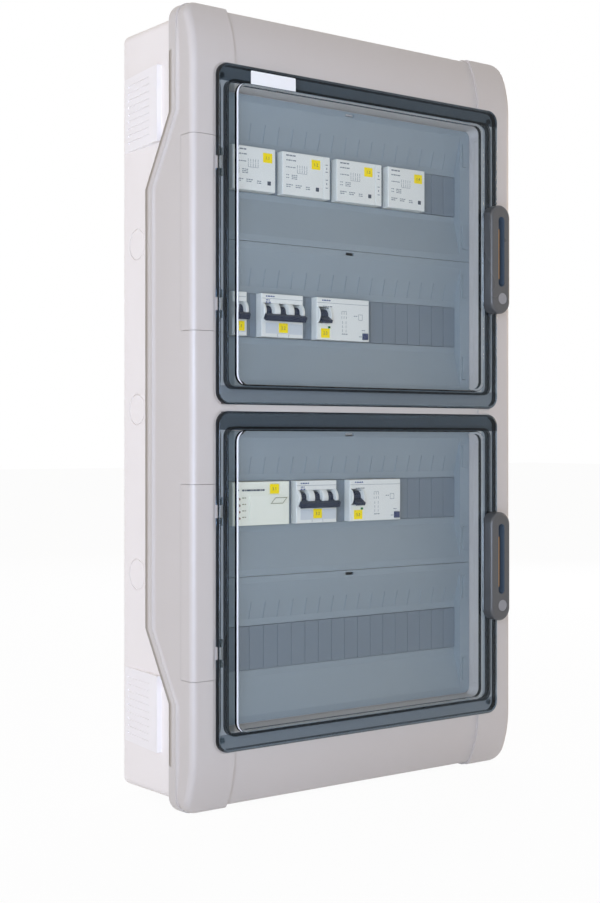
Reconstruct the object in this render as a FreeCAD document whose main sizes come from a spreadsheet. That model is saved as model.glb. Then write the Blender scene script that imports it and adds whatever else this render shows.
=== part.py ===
import FreeCAD, Part
import math
import os
import re

import Sketcher

# Modular distribution enclosure: a wall box with four rows of 18 modules
# behind two smoked doors. X runs to the right, Z up, and the wall is the
# plane Y = 0. Depths are measured from the wall towards the front (-Y).

SIZES = {
    # module grid
    "module_pitch": 17.5,
    "modules_per_row": 18,
    "row_spacing": 150,
    "door_spacing": 345,
    "device_gap": 0.3,
    "fit_gap": 0.5,
    # base tub
    "wall_thickness": 3,
    "base_width": 421,
    "base_height": 798,
    "base_depth": 113,
    "base_draft": 1.9,
    "base_corner": 9,
    "base_edge": 3,
    "base_screw_bore": 16,
    "wall_hole_spacing_x": 350,
    "wall_hole_spacing_z": 740,
    "wall_hole_radius": 3.5,
    "knockout_radius": 16.5,
    "knockout_ring": 1.2,
    "knockout_relief": 1.2,
    "knockout_spacing": 173,
    "knockout_depth": 30,
    # side entry plates
    "plate_back": 5,
    "plate_front": 80,
    "plate_height": 78,
    "plate_centre": 311.5,
    "plate_rise": 5.5,
    "plate_tip": 0.5,
    "plate_plug": 4,
    "plate_rim": 6,
    "groove_count": 9,
    "groove_pitch": 7.4,
    "groove_height": 2,
    "groove_back": 12,
    "groove_front": 62,
    "groove_sink": 1,
    # lid
    "lid_side_reach": 2.25,
    "lid_end_reach": 4.75,
    "lid_depth": 145.5,
    "lid_wall": 2,
    "lid_draft": 2.5,
    "lid_corner": 14,
    "lid_edge": 7,
    "lid_inner_edge": 4.5,
    "dome_start": 342,
    "dome_radius": 114,
    "band_start": 162,
    "band_rise": 2.5,
    "skirt_end_depth": 107,
    "skirt_mid_depth": 61,
    "wave_start": 225,
    "wave_end": 296,
    "bead_width": 13,
    "bead_rise": 1.2,
    "opening_width": 344,
    "opening_height": 302,
    "opening_corner": 9,
    "well_wall": 2.5,
    "well_back": 114,
    "ledge_width": 5,
    "gasket_width": 3,
    "gasket_height": 2,
    "screw_x": 177,
    "screw_z": 330,
    "screw_radius": 1.9,
    "screw_head_radius": 3,
    "screw_head_height": 1.4,
    "screw_slot_width": 0.8,
    "screw_clearance": 0.1,
    "screw_length": 16,
    "pillar_radius": 4.6,
    # inserts in the bands
    "insert_back": 127.6,
    "hinge_insert_height": 194,
    "lock_insert_height": 276.8,
    "lock_insert_edge": 185,
    "insert_gap": 0.4,
    # doors
    "door_width": 371,
    "door_height": 338.5,
    "door_recess": 1.5,
    "door_back": 146,
    "door_front": 155.5,
    "door_corner": 13,
    "door_edge": 3.5,
    "door_wall": 3,
    "panel_left": 167,
    "panel_right": 160.5,
    "panel_height": 301,
    "panel_front": 160,
    "panel_corner": 12,
    "panel_edge": 2.4,
    "seal_x": 173.8,
    "seal_width": 2.2,
    "seal_height": 3,
    # hinges of the doors
    "hinge_inset": 3.5,
    "hinge_depth": 150.5,
    "hinge_spread": 140,
    "knuckle_radius": 2.2,
    "knuckle_length": 12,
    "knuckle_side": 8,
    "knuckle_gap": 0.5,
    "pin_radius": 1.2,
    "pin_clearance": 0.05,
    "pin_fit": 0.01,
    "relief_width": 8.5,
    "relief_gap": 0.9,
    "web_reach": 0.5,
    # handles
    "handle_width": 28.5,
    "handle_height": 122,
    "handle_x": 174.25,
    "handle_drop": 1.5,
    "handle_back": 156.8,
    "handle_front": 172,
    "handle_edge": 3,
    "handle_gap": 1,
    "round_slack": 0.01,
    "slot_x": 175,
    "slot_width": 9,
    "slot_height": 79,
    "slot_sink": 11,
    "slot_shift": 8.5,
    "cap_x": 176.8,
    "cap_radius": 6.25,
    "cap_sink": 2.5,
    "cap_shift": 44,
    "cap_gap": 0.15,
    "pivot_x": 164,
    "pivot_depth": 159.5,
    "pivot_radius": 1,
    "pivot_spread": 60,
    "lug_half": 1.8,
    "lug_length": 4,
    "lug_room": 3.2,
    "lug_clearance": 0.8,
    "tongue_start": 176,
    "tongue_width": 2.5,
    "tongue_height": 16,
    "tongue_tip": 143.5,
    "tongue_room": 4.8,
    "strike_depth": 15,
    # inner covers
    "cover_rim_depth": 120,
    "cover_window_depth": 110,
    "cover_wall": 2.2,
    "cover_fold": 30,
    "cover_rim": 7,
    "window_height": 46,
    "rib_height": 18,
    "rib_width": 0.8,
    "rib_rise": 0.7,
    "notch_drop": 2,
    "notch_width": 11,
    "notch_height": 3,
    "clip_x": 163.7,
    "clip_width": 5,
    "clip_height": 26,
    "clip_shift": 47,
    "clip_rise": 1.2,
    "strip_depth": 110.8,
    "strip_back": 105,
    "strip_lip": 3,
    "line_width": 0.7,
    "line_sink": 0.5,
    # rails and uprights
    "rail_length": 340,
    "rail_height": 35,
    "rail_channel": 25,
    "rail_front": 58,
    "rail_rise": 7.5,
    "rail_wall": 1,
    "upright_x": 164,
    "upright_width": 12,
    "upright_height": 660,
    "upright_thickness": 10.5,
    "upright_boss_radius": 7,
    "upright_boss_spacing": 280,
    "rail_screw_radius": 2.2,
    "rail_screw_head": 4,
    "rail_screw_head_height": 2.6,
    "rail_screw_slot": 1,
    # devices
    "nose_height": 45,
    "nose_front": 120.3,
    "shoulder_height": 85,
    "shoulder_depth": 101,
    "device_back": 54.5,
    "device_edge": 0.7,
    "terminal_radius": 2.6,
    "terminal_sink": 6,
    "terminal_shift": 33,
    # toggles
    "toggle_raise": 4,
    "toggle_depth": 114,
    "drum_radius": 6.4,
    "drum_width": 8.4,
    "drum_room": 0.5,
    "toggle_slot_height": 17.5,
    "toggle_slot_back": 103,
    "lever_tip": 16.5,
    "lever_thickness": 4,
    "lever_angle": 28,
    "lever_taper": 0.8,
    "tie_depth": 4.5,
    "tie_half": 3,
    "tie_margin": 1.2,
    "pivot_pin_radius": 1.5,
    # residual current breakers
    "rcbo_toggle_x": 9,
    "rcbo_drum_width": 12,
    "button_size": 6.5,
    "button_margin": 5.5,
    "button_drop": 17,
    "button_rise": 1.6,
    "button_travel": 1.5,
    "button_room": 0.4,
    "button_length": 8,
    # energy meter
    "meter_panel_width": 43,
    "meter_panel_height": 27,
    "meter_panel_rise": 1.2,
    "meter_panel_corner": 2.4,
    "meter_panel_x": 42,
    "meter_panel_drop": 5,
    "lamp_radius": 1.2,
    "lamp_rise": 0.8,
    "lamp_sink": 1,
    "lamp_count": 4,
    "lamp_pitch": 6.6,
    "lamp_x": 8,
    # terminal bars
    "bar_length": 210,
    "bar_size": 9,
    "bar_back": 22,
    "bar_height": 348,
    "bar_foot": 10,
    "bar_foot_spacing": 180,
    "bar_floor": 3,
    "bar_hole_radius": 2.5,
    "bar_hole_pitch": 12,
    "bar_hole_count": 14,
    "seal_gap": 0.3,
    "through": 30,
}

doc = FreeCAD.newDocument("distribution_enclosure")
sheet = doc.addObject("Spreadsheet::Sheet", "Sizes")
for row, (alias, number) in enumerate(SIZES.items(), start=1):
    sheet.set(f"A{row}", alias)
    sheet.set(f"B{row}", str(number))
    sheet.setAlias(f"B{row}", alias)
doc.recompute()

FRONT = FreeCAD.Vector(0, -1, 0)
BACK = FreeCAD.Vector(0, 1, 0)
pieces = []


# ---------------------------------------------------------------- helpers

def size(alias):
    return float(sheet.get(alias))


def bound(text):
    """The expression with each size name pointed at the sheet."""
    return re.sub(r"[a-z_]+", lambda word: point_at_sheet(word.group()), str(text))


def point_at_sheet(word):
    return f"Sizes.{word}" if word in SIZES else word


def middle(centre, length):
    """The span of a length laid out evenly about its centre."""
    return (f"({centre}) - ({length}) / 2", f"({centre}) + ({length}) / 2")


def block(name, x, depth, z):
    """A box between spans along X, in depth from the wall, and along Z."""
    box = doc.addObject("Part::Box", name)
    spans = {"x": x, "y": (f"-({depth[1]})", f"-({depth[0]})"), "z": z}
    for (axis, span), side in zip(spans.items(), ("Length", "Width", "Height")):
        box.setExpression(side, bound(f"({span[1]}) - ({span[0]})"))
        box.setExpression(f"Placement.Base.{axis}", bound(span[0]))
    return box


ROD_TURNS = {
    "x": FreeCAD.Rotation(FreeCAD.Vector(0, 1, 0), 90),
    "y": FreeCAD.Rotation(FreeCAD.Vector(1, 0, 0), 90),
    "z": FreeCAD.Rotation(),
}


def rod(name, radius, x, depth, z):
    """A cylinder along the one axis that is given as a span."""
    cylinder = doc.addObject("Part::Cylinder", name)
    spans = {"x": x, "y": depth, "z": z}
    along = next(axis for axis, span in spans.items() if isinstance(span, tuple))
    low, high = spans[along]
    spans[along] = low
    cylinder.Placement = FreeCAD.Placement(FreeCAD.Vector(), ROD_TURNS[along])
    cylinder.setExpression("Radius", bound(radius))
    cylinder.setExpression("Height", bound(f"({high}) - ({low})"))
    cylinder.setExpression("Placement.Base.x", bound(spans["x"]))
    cylinder.setExpression("Placement.Base.y", bound(f"-({spans['y']})"))
    cylinder.setExpression("Placement.Base.z", bound(spans["z"]))
    return cylinder


def join(name, solids):
    if len(solids) == 1:
        return solids[0]
    joined = doc.addObject("Part::MultiFuse", name)
    joined.Shapes = solids
    return joined


def cut(name, base, tools):
    result = doc.addObject("Part::Cut", name)
    result.Base = base
    result.Tool = join(name + "_tools", tools)
    return result


def common(name, first, second):
    result = doc.addObject("Part::Common", name)
    result.Base = first
    result.Tool = second
    return result


def group(name, solids):
    gathered = doc.addObject("Part::Compound", name)
    gathered.Links = solids
    return gathered


def edges_facing(shape, direction):
    """Numbers of the edges between a face that looks along the direction
    and one that stands beside it."""
    found = []
    for number, edge in enumerate(shape.Edges, start=1):
        faces = shape.ancestorsOfType(edge, Part.Face)
        if len(faces) != 2:
            continue
        spot = edge.valueAt((edge.FirstParameter + edge.LastParameter) / 2)
        facing = sorted(normal_at(face, spot).dot(direction) for face in faces)
        if facing[0] < 0.3 and facing[1] > 0.6:
            found.append(number)
    return found


def edges_in_front(shape):
    """Numbers of the edges of the frontmost flat face."""
    nearest = min(vertex.Y for vertex in shape.Vertexes)
    return [
        number
        for number, edge in enumerate(shape.Edges, start=1)
        if all(abs(vertex.Y - nearest) < 0.001 for vertex in edge.Vertexes)
    ]


def normal_at(face, spot):
    return face.normalAt(*face.Surface.parameter(spot))


def edges_spanning(shape, axis):
    """Numbers of the edges that run the whole way along one axis."""
    length = getattr(shape.BoundBox, axis + "Length")
    return [
        number
        for number, edge in enumerate(shape.Edges, start=1)
        if getattr(edge.BoundBox, axis + "Length") > 0.98 * length
    ]


def rounded_edges(name, base, numbers, radius):
    """Edges of a boolean's result, rounded with a radius from the sheet."""
    fillet = doc.addObject("Part::Fillet", name)
    fillet.Base = base
    fillet.Edges = [(number, size(radius), size(radius)) for number in numbers]
    return fillet


def sketch_on(body, role, offset):
    plane = next(part for part in body.Origin.OriginFeatures if part.Role == role)
    sketch = body.newObject("Sketcher::SketchObject", body.Name + "_outline")
    sketch.AttachmentSupport = (plane, "")
    sketch.MapMode = "FlatFace"
    sketch.setExpression("AttachmentOffset.Base.z", bound(offset))
    return sketch


def draw_outline(sketch, points):
    """A closed outline of straight lines, each corner held from the origin."""
    count = len(points)
    turns = [2 * math.pi * number / count for number in range(count)]
    corners = [FreeCAD.Vector(math.cos(turn), math.sin(turn), 0) for turn in turns]
    for number in range(count):
        following = (number + 1) % count
        sketch.addGeometry(Part.LineSegment(corners[number], corners[following]))
    for number in range(count):
        following = (number + 1) % count
        sketch.addConstraint(
            Sketcher.Constraint("Coincident", number, 2, following, 1)
        )
    for number, point in enumerate(points):
        for kind, value in zip(("DistanceX", "DistanceY"), point):
            held = sketch.addConstraint(
                Sketcher.Constraint(kind, -1, 1, number, 1, 1.0)
            )
            sketch.setExpression(f"Constraints[{held}]", bound(value))


def padded(name, role, offset, length, points, taper=None):
    """A body with one outline padded along its plane's normal."""
    body = doc.addObject("PartDesign::Body", name)
    sketch = sketch_on(body, role, offset)
    draw_outline(sketch, points)
    pad = body.newObject("PartDesign::Pad", name + "_pad")
    pad.Profile = sketch
    pad.setExpression("Length", bound(length))
    if taper is not None:
        pad.setExpression("TaperAngle", bound(taper))
    doc.recompute()
    return body


def round_body(body, numbers, radius):
    """One more fillet on top of a body's last feature."""
    base = body.Tip
    fillet = body.newObject("PartDesign::Fillet", body.Name + "_fillet")
    fillet.Base = (base, [f"Edge{number}" for number in numbers])
    fillet.setExpression("Radius", bound(radius))
    doc.recompute()


def rounded(name, x, depth, z, corner, front=None, taper=None):
    """A plate with round corners, its front edge rounded when asked for."""
    outline = [(x[0], z[0]), (x[1], z[0]), (x[1], z[1]), (x[0], z[1])]
    length = f"({depth[1]}) - ({depth[0]})"
    body = padded(name, "XZ_Plane", depth[0], length, outline, taper)
    round_body(body, edges_spanning(body.Shape, "Y"), corner)
    if front is not None:
        round_body(body, edges_facing(body.Shape, FRONT), front)
    return body


def profile(name, x, points):
    """An outline given as depth and height, padded along X."""
    outline = [(f"-({depth})", z) for depth, z in points]
    return padded(name, "YZ_Plane", x[0], f"({x[1]}) - ({x[0]})", outline)


def piece(label, solid):
    """Keep one object as a named sub-part."""
    solid.Label = label
    pieces.append(solid)
    return solid


# ------------------------------------------------------------- grid places

ROWS = {
    1: "door_spacing / 2 + row_spacing / 2",
    2: "door_spacing / 2 - row_spacing / 2",
    3: "-door_spacing / 2 + row_spacing / 2",
    4: "-door_spacing / 2 - row_spacing / 2",
}
DOORS = {"upper": "door_spacing / 2", "lower": "-door_spacing / 2"}
HANDLES = {word: f"({centre}) - handle_drop" for word, centre in DOORS.items()}
SIDES = {"left": "-1", "right": "1"}


def end_span(sign, inner, outer):
    """A span on one side of the middle, given by its distances from it."""
    if sign == "-1":
        return (f"-({outer})", f"-({inner})")
    return (inner, outer)


def grid(modules):
    """The place along X so many modules from the left end of a row."""
    return f"module_pitch * ({modules} - modules_per_row / 2)"


# ----------------------------------------------------------- base housing

def base_span(length, inset, depth="0"):
    """The span across the drafted tub at one depth, so far inside its skin."""
    return middle("0", f"{length} - 2 * ({inset}) - 2 * ({depth}) * tan(base_draft)")


RIM_WIDTH = "(base_width - 2 * base_depth * tan(base_draft))"
RIM_HEIGHT = "(base_height - 2 * base_depth * tan(base_draft))"
LID_WIDTH = f"({RIM_WIDTH} + 2 * lid_side_reach)"
LID_HEIGHT = f"({RIM_HEIGHT} + 2 * lid_end_reach)"


def make_base():
    tub = rounded(
        "base_tub",
        base_span("base_width", "0"),
        ("0", "base_depth"),
        base_span("base_height", "0"),
        "base_corner",
        taper="-base_draft",
    )
    round_body(tub, edges_facing(tub.Shape, BACK), "base_edge")
    hollow = rounded(
        "base_hollow",
        base_span("base_width", "wall_thickness", "wall_thickness"),
        ("wall_thickness", "base_depth + through"),
        base_span("base_height", "wall_thickness", "wall_thickness"),
        "base_corner - wall_thickness",
        taper="-base_draft",
    )
    return cut("base_housing", base_with_posts(tub, hollow), base_holes())


def base_with_posts(tub, hollow):
    posts = []
    floor = "wall_thickness / 2"
    for side, sign in SIDES.items():
        for number in (-1, 0, 1):
            posts.append(rod(
                f"upright_boss_{side}_{number + 2}",
                "upright_boss_radius",
                f"{sign} * upright_x",
                (floor, "rail_front - rail_rise - upright_thickness"),
                f"{number} * upright_boss_spacing",
            ))
        for number in (-1, 1):
            posts.append(rod(
                f"lid_pillar_{side}_{number + 2}",
                "pillar_radius",
                f"{sign} * screw_x",
                (floor, "lid_depth - lid_wall"),
                f"{number} * screw_z",
            ))
            posts.append(block(
                f"bar_boss_{side}_{number + 2}",
                middle(f"{sign} * bar_foot_spacing / 2", "bar_foot"),
                (floor, "bar_back"),
                middle(f"{number} * bar_height", "bar_foot"),
            ))
    return join("base_body", [cut("base_shell", tub, [hollow])] + posts)


def base_holes():
    holes = []
    for side, sign in SIDES.items():
        for number in (-1, 1):
            holes.append(rod(
                f"wall_hole_{side}_{number + 2}",
                "wall_hole_radius",
                f"{sign} * wall_hole_spacing_x / 2",
                ("-through", "through / 2"),
                f"{number} * wall_hole_spacing_z / 2",
            ))
            holes.append(rod(
                f"screw_bore_{side}_{number + 2}",
                "screw_radius",
                f"{sign} * screw_x",
                ("lid_depth - lid_wall - base_screw_bore", "lid_depth"),
                f"{number} * screw_z",
            ))
            holes.append(block(
                f"entry_{side}_{number + 2}",
                middle(f"{sign} * base_width / 2", "4 * wall_thickness"),
                ("plate_back + plate_rim", "plate_front - plate_rim"),
                middle(
                    f"{number} * plate_centre", "plate_height - 2 * plate_rim"
                ),
            ))
        for number in (-1, 0, 1):
            holes.append(knockout(side, number))
    return holes


def wall_at(depth):
    """How far the drafted side of the tub stands from the middle."""
    return f"(base_width / 2 - ({depth}) * tan(base_draft))"


def knockout(side, number):
    """The groove round one push-out disc in the side of the tub."""
    face = wall_at("knockout_depth")
    x = end_span(
        SIDES[side], f"{face} - knockout_relief", f"{face} + knockout_relief"
    )
    z = f"{number} * knockout_spacing"
    name = f"ring_{side}_{number + 2}"
    ring = rod(name + "_outer", "knockout_radius", x, "knockout_depth", z)
    disc = rod(name + "_disc", "knockout_radius - knockout_ring",
               x, "knockout_depth", z)
    return cut(name, ring, [disc])


# ------------------------------------------------------ side entry plates

def make_side_plates():
    """One wedge-shaped plate with grooves, mirrored to the other places."""
    low = "plate_centre - plate_height / 2"
    wedge = padded("plate_wedge", "XY_Plane", low, "plate_height", [
        (f"-{wall_at('plate_back')}", "-plate_back"),
        (f"-{plate_skin('plate_back')}", "-plate_back"),
        (f"-{plate_skin('plate_front')}", "-plate_front"),
        (f"-{wall_at('plate_front')}", "-plate_front"),
    ])
    grooves = [plate_groove(number) for number in range(size_count("groove_count"))]
    grooved = cut("plate_skin", wedge, grooves)
    back = "plate_back + plate_rim + fit_gap"
    front = "plate_front - plate_rim - fit_gap"
    plug = padded(
        "plate_plug",
        "XY_Plane",
        f"{low} + plate_rim + fit_gap",
        "plate_height - 2 * plate_rim - 2 * fit_gap",
        [
            (f"-{wall_at(back)}", f"-({back})"),
            (f"-{wall_at(front)}", f"-({front})"),
            (f"-{wall_at(front)} + plate_plug", f"-({front})"),
            (f"-{wall_at(back)} + plate_plug", f"-({back})"),
        ],
    )
    upper_left = join("side_plate_body", [grooved, plug])
    upper_right = mirrored("side_plate_upper_right", upper_left, "x")
    piece("side_plate_upper_left", upper_left)
    piece("side_plate_upper_right", upper_right)
    piece("side_plate_lower_left", mirrored("side_plate_low_left", upper_left, "z"))
    piece("side_plate_lower_right", mirrored("side_plate_low_right", upper_right, "z"))


def plate_skin(depth):
    """How far the sloped outside of a plate stands from the middle."""
    slope = "(plate_rise - plate_tip) / (plate_front - plate_back)"
    return f"({wall_at(depth)} + plate_tip + ({depth} - plate_back) * {slope})"


def plate_groove(number):
    """One shallow horizontal groove that follows the slope of the plate."""
    outline = [
        (f"-({plate_skin('groove_back')} - groove_sink)", "-groove_back"),
        (f"-({plate_skin('groove_front')} - groove_sink)", "-groove_front"),
        (f"-({plate_skin('groove_front')} + plate_rise)", "-groove_front"),
        (f"-({plate_skin('groove_back')} + plate_rise)", "-groove_back"),
    ]
    low = (
        f"plate_centre + ({number} - (groove_count - 1) / 2) * groove_pitch"
        " - groove_height / 2"
    )
    return padded(f"groove_{number + 1}", "XY_Plane", low, "groove_height", outline)


def size_count(alias):
    return int(round(size(alias)))


def mirrored(name, source, axis):
    mirror = doc.addObject("Part::Mirroring", name)
    mirror.Source = source
    mirror.Base = FreeCAD.Vector()
    mirror.Normal = FreeCAD.Vector(axis == "x", axis == "y", axis == "z")
    return mirror


# --------------------------------------------------------------------- lid

def dome(name, inset, depth, edge):
    """The drafted outside of the lid with its bent top and bottom."""
    grow = f"(({depth}) - skirt_mid_depth) * tan(lid_draft)"
    block_up = rounded(
        name + "_block",
        middle("0", f"{LID_WIDTH} - 2 * ({inset}) + 2 * {grow}"),
        ("skirt_mid_depth", depth),
        middle("0", f"{LID_HEIGHT} - 2 * ({inset}) + 2 * {grow}"),
        f"lid_corner - ({inset})",
        taper="-lid_draft",
    )
    sides = [dome_waste(f"{name}_{word}", sign, depth)
             for word, sign in (("top", "1"), ("bottom", "-1"))]
    bent = cut(name + "_bent", block_up, sides)
    doc.recompute()
    return rounded_edges(name, bent, edges_facing(bent.Shape, FRONT), edge)


def dome_waste(name, sign, depth):
    """What is taken off the front so that it bends back towards one end."""
    slab = block(
        name + "_slab",
        middle("0", f"{LID_WIDTH} + 2 * through"),
        (f"({depth}) - dome_radius", f"({depth}) + through"),
        end_span(sign, "dome_start", f"{LID_HEIGHT} / 2 + through"),
    )
    roller = rod(
        name + "_roller",
        "dome_radius",
        middle("0", f"{LID_WIDTH} + 3 * through"),
        f"({depth}) - dome_radius",
        f"{sign} * dome_start",
    )
    return cut(name + "_waste", slab, [roller])


def make_lid():
    """The lid before the inserts are taken out of its bands."""
    outside = cut(
        "lid_outside",
        dome("lid_bands", "-band_rise", "lid_depth + band_rise", "lid_edge"),
        [band_step("step", "0")] + [door_recess(word) for word in DOORS],
    )
    beaded = join("lid_beaded", [outside, bead()])
    hollow = dome("lid_hollow", "lid_wall", "lid_depth - lid_wall",
                  "lid_inner_edge")
    shell = cut("lid_shell", beaded, [hollow] + rim_waves())
    walled = join("lid_walled", [shell, gasket_rib()] + wells())
    seat = "cover_rim_depth - cover_wall"
    holes = []
    for word in DOORS:
        holes.append(opening(f"clear_{word}", word, "0", seat, "door_front"))
        holes.append(opening(
            f"ledge_{word}", word, "-ledge_width", "well_back - well_wall", "door_front"
        ))
    holes += lid_screw_holes()
    return cut("lid_whole", walled, holes)


def band_step(name, rise):
    """What stands more than `rise` over the lid between the two bands."""
    slab = block(
        name + "_slab",
        middle("0", "2 * band_start"),
        ("0", "lid_depth + through"),
        middle("0", f"{LID_HEIGHT} + 2 * through"),
    )
    centre = dome(name + "_centre", f"-({rise})", "lid_depth", "lid_edge")
    return cut(name + "_waste", slab, [centre])


def door_recess(word):
    """The shallow bed that one door lies in, cut out of both bands."""
    return rounded(
        f"door_bed_{word}",
        middle("0", "door_width + 2 * door_recess"),
        ("lid_depth", "lid_depth + through"),
        middle(DOORS[word], "door_height + 2 * door_recess"),
        "door_corner + door_recess",
    )


def wave(name, width, low, high):
    """A strip that follows the wavy rim of the skirt, from the rim or from
    some way in front of it."""
    strips = []
    for word, sign in (("top", "1"), ("bottom", "-1")):
        reach = f"{sign} * ({LID_HEIGHT} / 2 + through)"
        strips.append(profile(f"{name}_{word}", middle("0", width), [
            (low("skirt_mid_depth"), "0"),
            (high("skirt_mid_depth"), "0"),
            (high("skirt_mid_depth"), f"{sign} * wave_start"),
            (high("skirt_end_depth"), f"{sign} * wave_end"),
            (high("skirt_end_depth"), reach),
            (low("skirt_end_depth"), reach),
            (low("skirt_end_depth"), f"{sign} * wave_end"),
            (low("skirt_mid_depth"), f"{sign} * wave_start"),
        ]))
    return join(name, strips)


def rim_waves():
    """What is taken off behind the wavy rim."""
    return [wave(
        "rim_waste",
        f"{LID_WIDTH} + 2 * through",
        lambda depth: f"{depth} - 2 * through",
        lambda depth: depth,
    )]


def bead():
    """The rounded bead that stands proud along the rim."""
    thick = dome(
        "bead_body", "-band_rise - bead_rise", "lid_depth + band_rise", "lid_edge"
    )
    strip = wave(
        "bead_strip",
        f"{LID_WIDTH} + 2 * through",
        lambda depth: depth,
        lambda depth: f"{depth} + bead_width",
    )
    whole = common("bead_whole", thick, strip)
    core = dome("bead_core", "lid_wall / 2", "lid_depth", "lid_edge")
    return cut("bead", whole, [core, band_step("bead_step", "bead_rise")])


def opening(name, word, grow, back, front):
    """The window through the lid for one door, wider by `grow` all round."""
    return rounded(
        name,
        middle("0", f"opening_width + 2 * ({grow})"),
        (back, front),
        middle(DOORS[word], f"opening_height + 2 * ({grow})"),
        f"opening_corner + {grow}",
    )


def wells():
    """The walls that run back round both openings."""
    return [
        opening(f"well_{word}", word, "well_wall", "well_back",
                "lid_depth - lid_wall / 2")
        for word in DOORS
    ]


def gasket_rib():
    """The rib inside the lid that presses on the gasket of the tub."""
    skin = "lid_depth - lid_wall / 2"
    rim = "base_depth + gasket_height"
    ring = rim_ring("rib", (rim, skin))
    return common("gasket_rib", ring, dome("rib_bound", "lid_wall / 2", skin,
                                           "lid_edge"))


def rim_ring(name, depth):
    """A closed ring as wide as the gasket in line with the rim of the tub."""
    def side(part, inset):
        return rounded(
            f"{name}_{part}",
            middle("0", f"{RIM_WIDTH} - 2 * ({inset})"),
            depth,
            middle("0", f"{RIM_HEIGHT} - 2 * ({inset})"),
            f"base_corner - ({inset})",
        )
    return cut(name + "_ring", side("outer", "0"), [side("inner", "gasket_width")])


def lid_screw_holes():
    return [
        rod(
            f"lid_screw_hole_{side}_{number + 2}",
            "screw_radius",
            f"{sign} * screw_x",
            ("lid_depth - 2 * lid_wall", "lid_depth + lid_wall"),
            f"{number} * screw_z",
        )
        for side, sign in SIDES.items()
        for number in (-1, 1)
    ]


def make_inserts(whole):
    """The hinge and lock inserts, and the lid with their places cut out."""
    gaps = []
    for word, centre in DOORS.items():
        spots = {
            "hinge": (
                (f"-({LID_WIDTH} / 2 + through)", "-(opening_width / 2 - fit_gap)"),
                "hinge_insert_height",
                "0",
            ),
            "lock": (
                ("opening_width / 2 - fit_gap", "lock_insert_edge"),
                "lock_insert_height",
                "insert_gap",
            ),
        }
        for kind, (x, height, side_gap) in spots.items():
            name = f"{kind}_insert_{word}"
            gap = block(name + "_gap", x, ("insert_back", "door_front"),
                        middle(centre, height))
            core = block(
                name + "_core",
                (f"({x[0]}) + {side_gap}", f"({x[1]}) - {side_gap}"),
                ("insert_back + insert_gap", "door_front"),
                middle(centre, f"{height} - 2 * insert_gap"),
            )
            gaps.append(gap)
            insert = common(name + "_skin", whole, core)
            if kind == "hinge":
                body = join(name + "_body", [insert] + fixed_knuckles(word))
                piece(name, cut(name + "_bored", body, knuckle_bores(word)))
            else:
                piece(name, cut(name + "_body", insert, [strike_slot(word)]))
    piece("lid_frame", cut("lid_frame", whole, gaps))


def strike_slot(word):
    """The slot that the tongue of the handle drops into."""
    return block(
        f"strike_{word}",
        ("tongue_start - fit_gap", "tongue_start + tongue_width + tongue_room"),
        ("lid_depth - strike_depth", "lid_depth + through"),
        middle(HANDLES[word], "tongue_height + 2 * fit_gap"),
    )


# ---------------------------------------------------------- door hinges

HINGE_X = "-(door_width / 2 - hinge_inset)"


def hinge_spots(word):
    """The heights of the two hinges of one door."""
    return {
        number: f"({DOORS[word]}) + {sign} * hinge_spread / 2"
        for number, sign in ((1, "1"), (2, "-1"))
    }


def knuckle(name, z, reach, back, front):
    """A barrel with a web that ties it to the wall at its back or front and
    reaches so far past the axis towards the outside."""
    barrel = rod(name + "_barrel", "knuckle_radius", HINGE_X, "hinge_depth", z)
    web = block(name + "_web",
                (f"{HINGE_X} - {reach}", f"{HINGE_X} + knuckle_radius"),
                (back, front), z)
    return [barrel, web]


def fixed_knuckles(word):
    """The barrels that stand on the hinge insert."""
    solids = []
    for number, height in hinge_spots(word).items():
        span = middle(height, "knuckle_length")
        solids += knuckle(f"fixed_knuckle_{word}_{number}", span, "web_reach",
                          "lid_depth - lid_wall / 2", "hinge_depth")
    return solids


def hinge_rods(name, word, radius):
    """One rod along the axis through each of a door's two hinges."""
    return [
        rod(
            f"{name}_{word}_{number}",
            radius,
            HINGE_X,
            "hinge_depth",
            middle(height, "knuckle_length + 2 * knuckle_side"),
        )
        for number, height in hinge_spots(word).items()
    ]


def knuckle_bores(word):
    return hinge_rods("knuckle_bore", word, "pin_radius + pin_fit")


def make_hinge_pins():
    return hinge_rods("hinge_pin", "upper", "pin_radius") + hinge_rods(
        "hinge_pin", "lower", "pin_radius"
    )


# ---------------------------------------------------------------- doors

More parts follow.
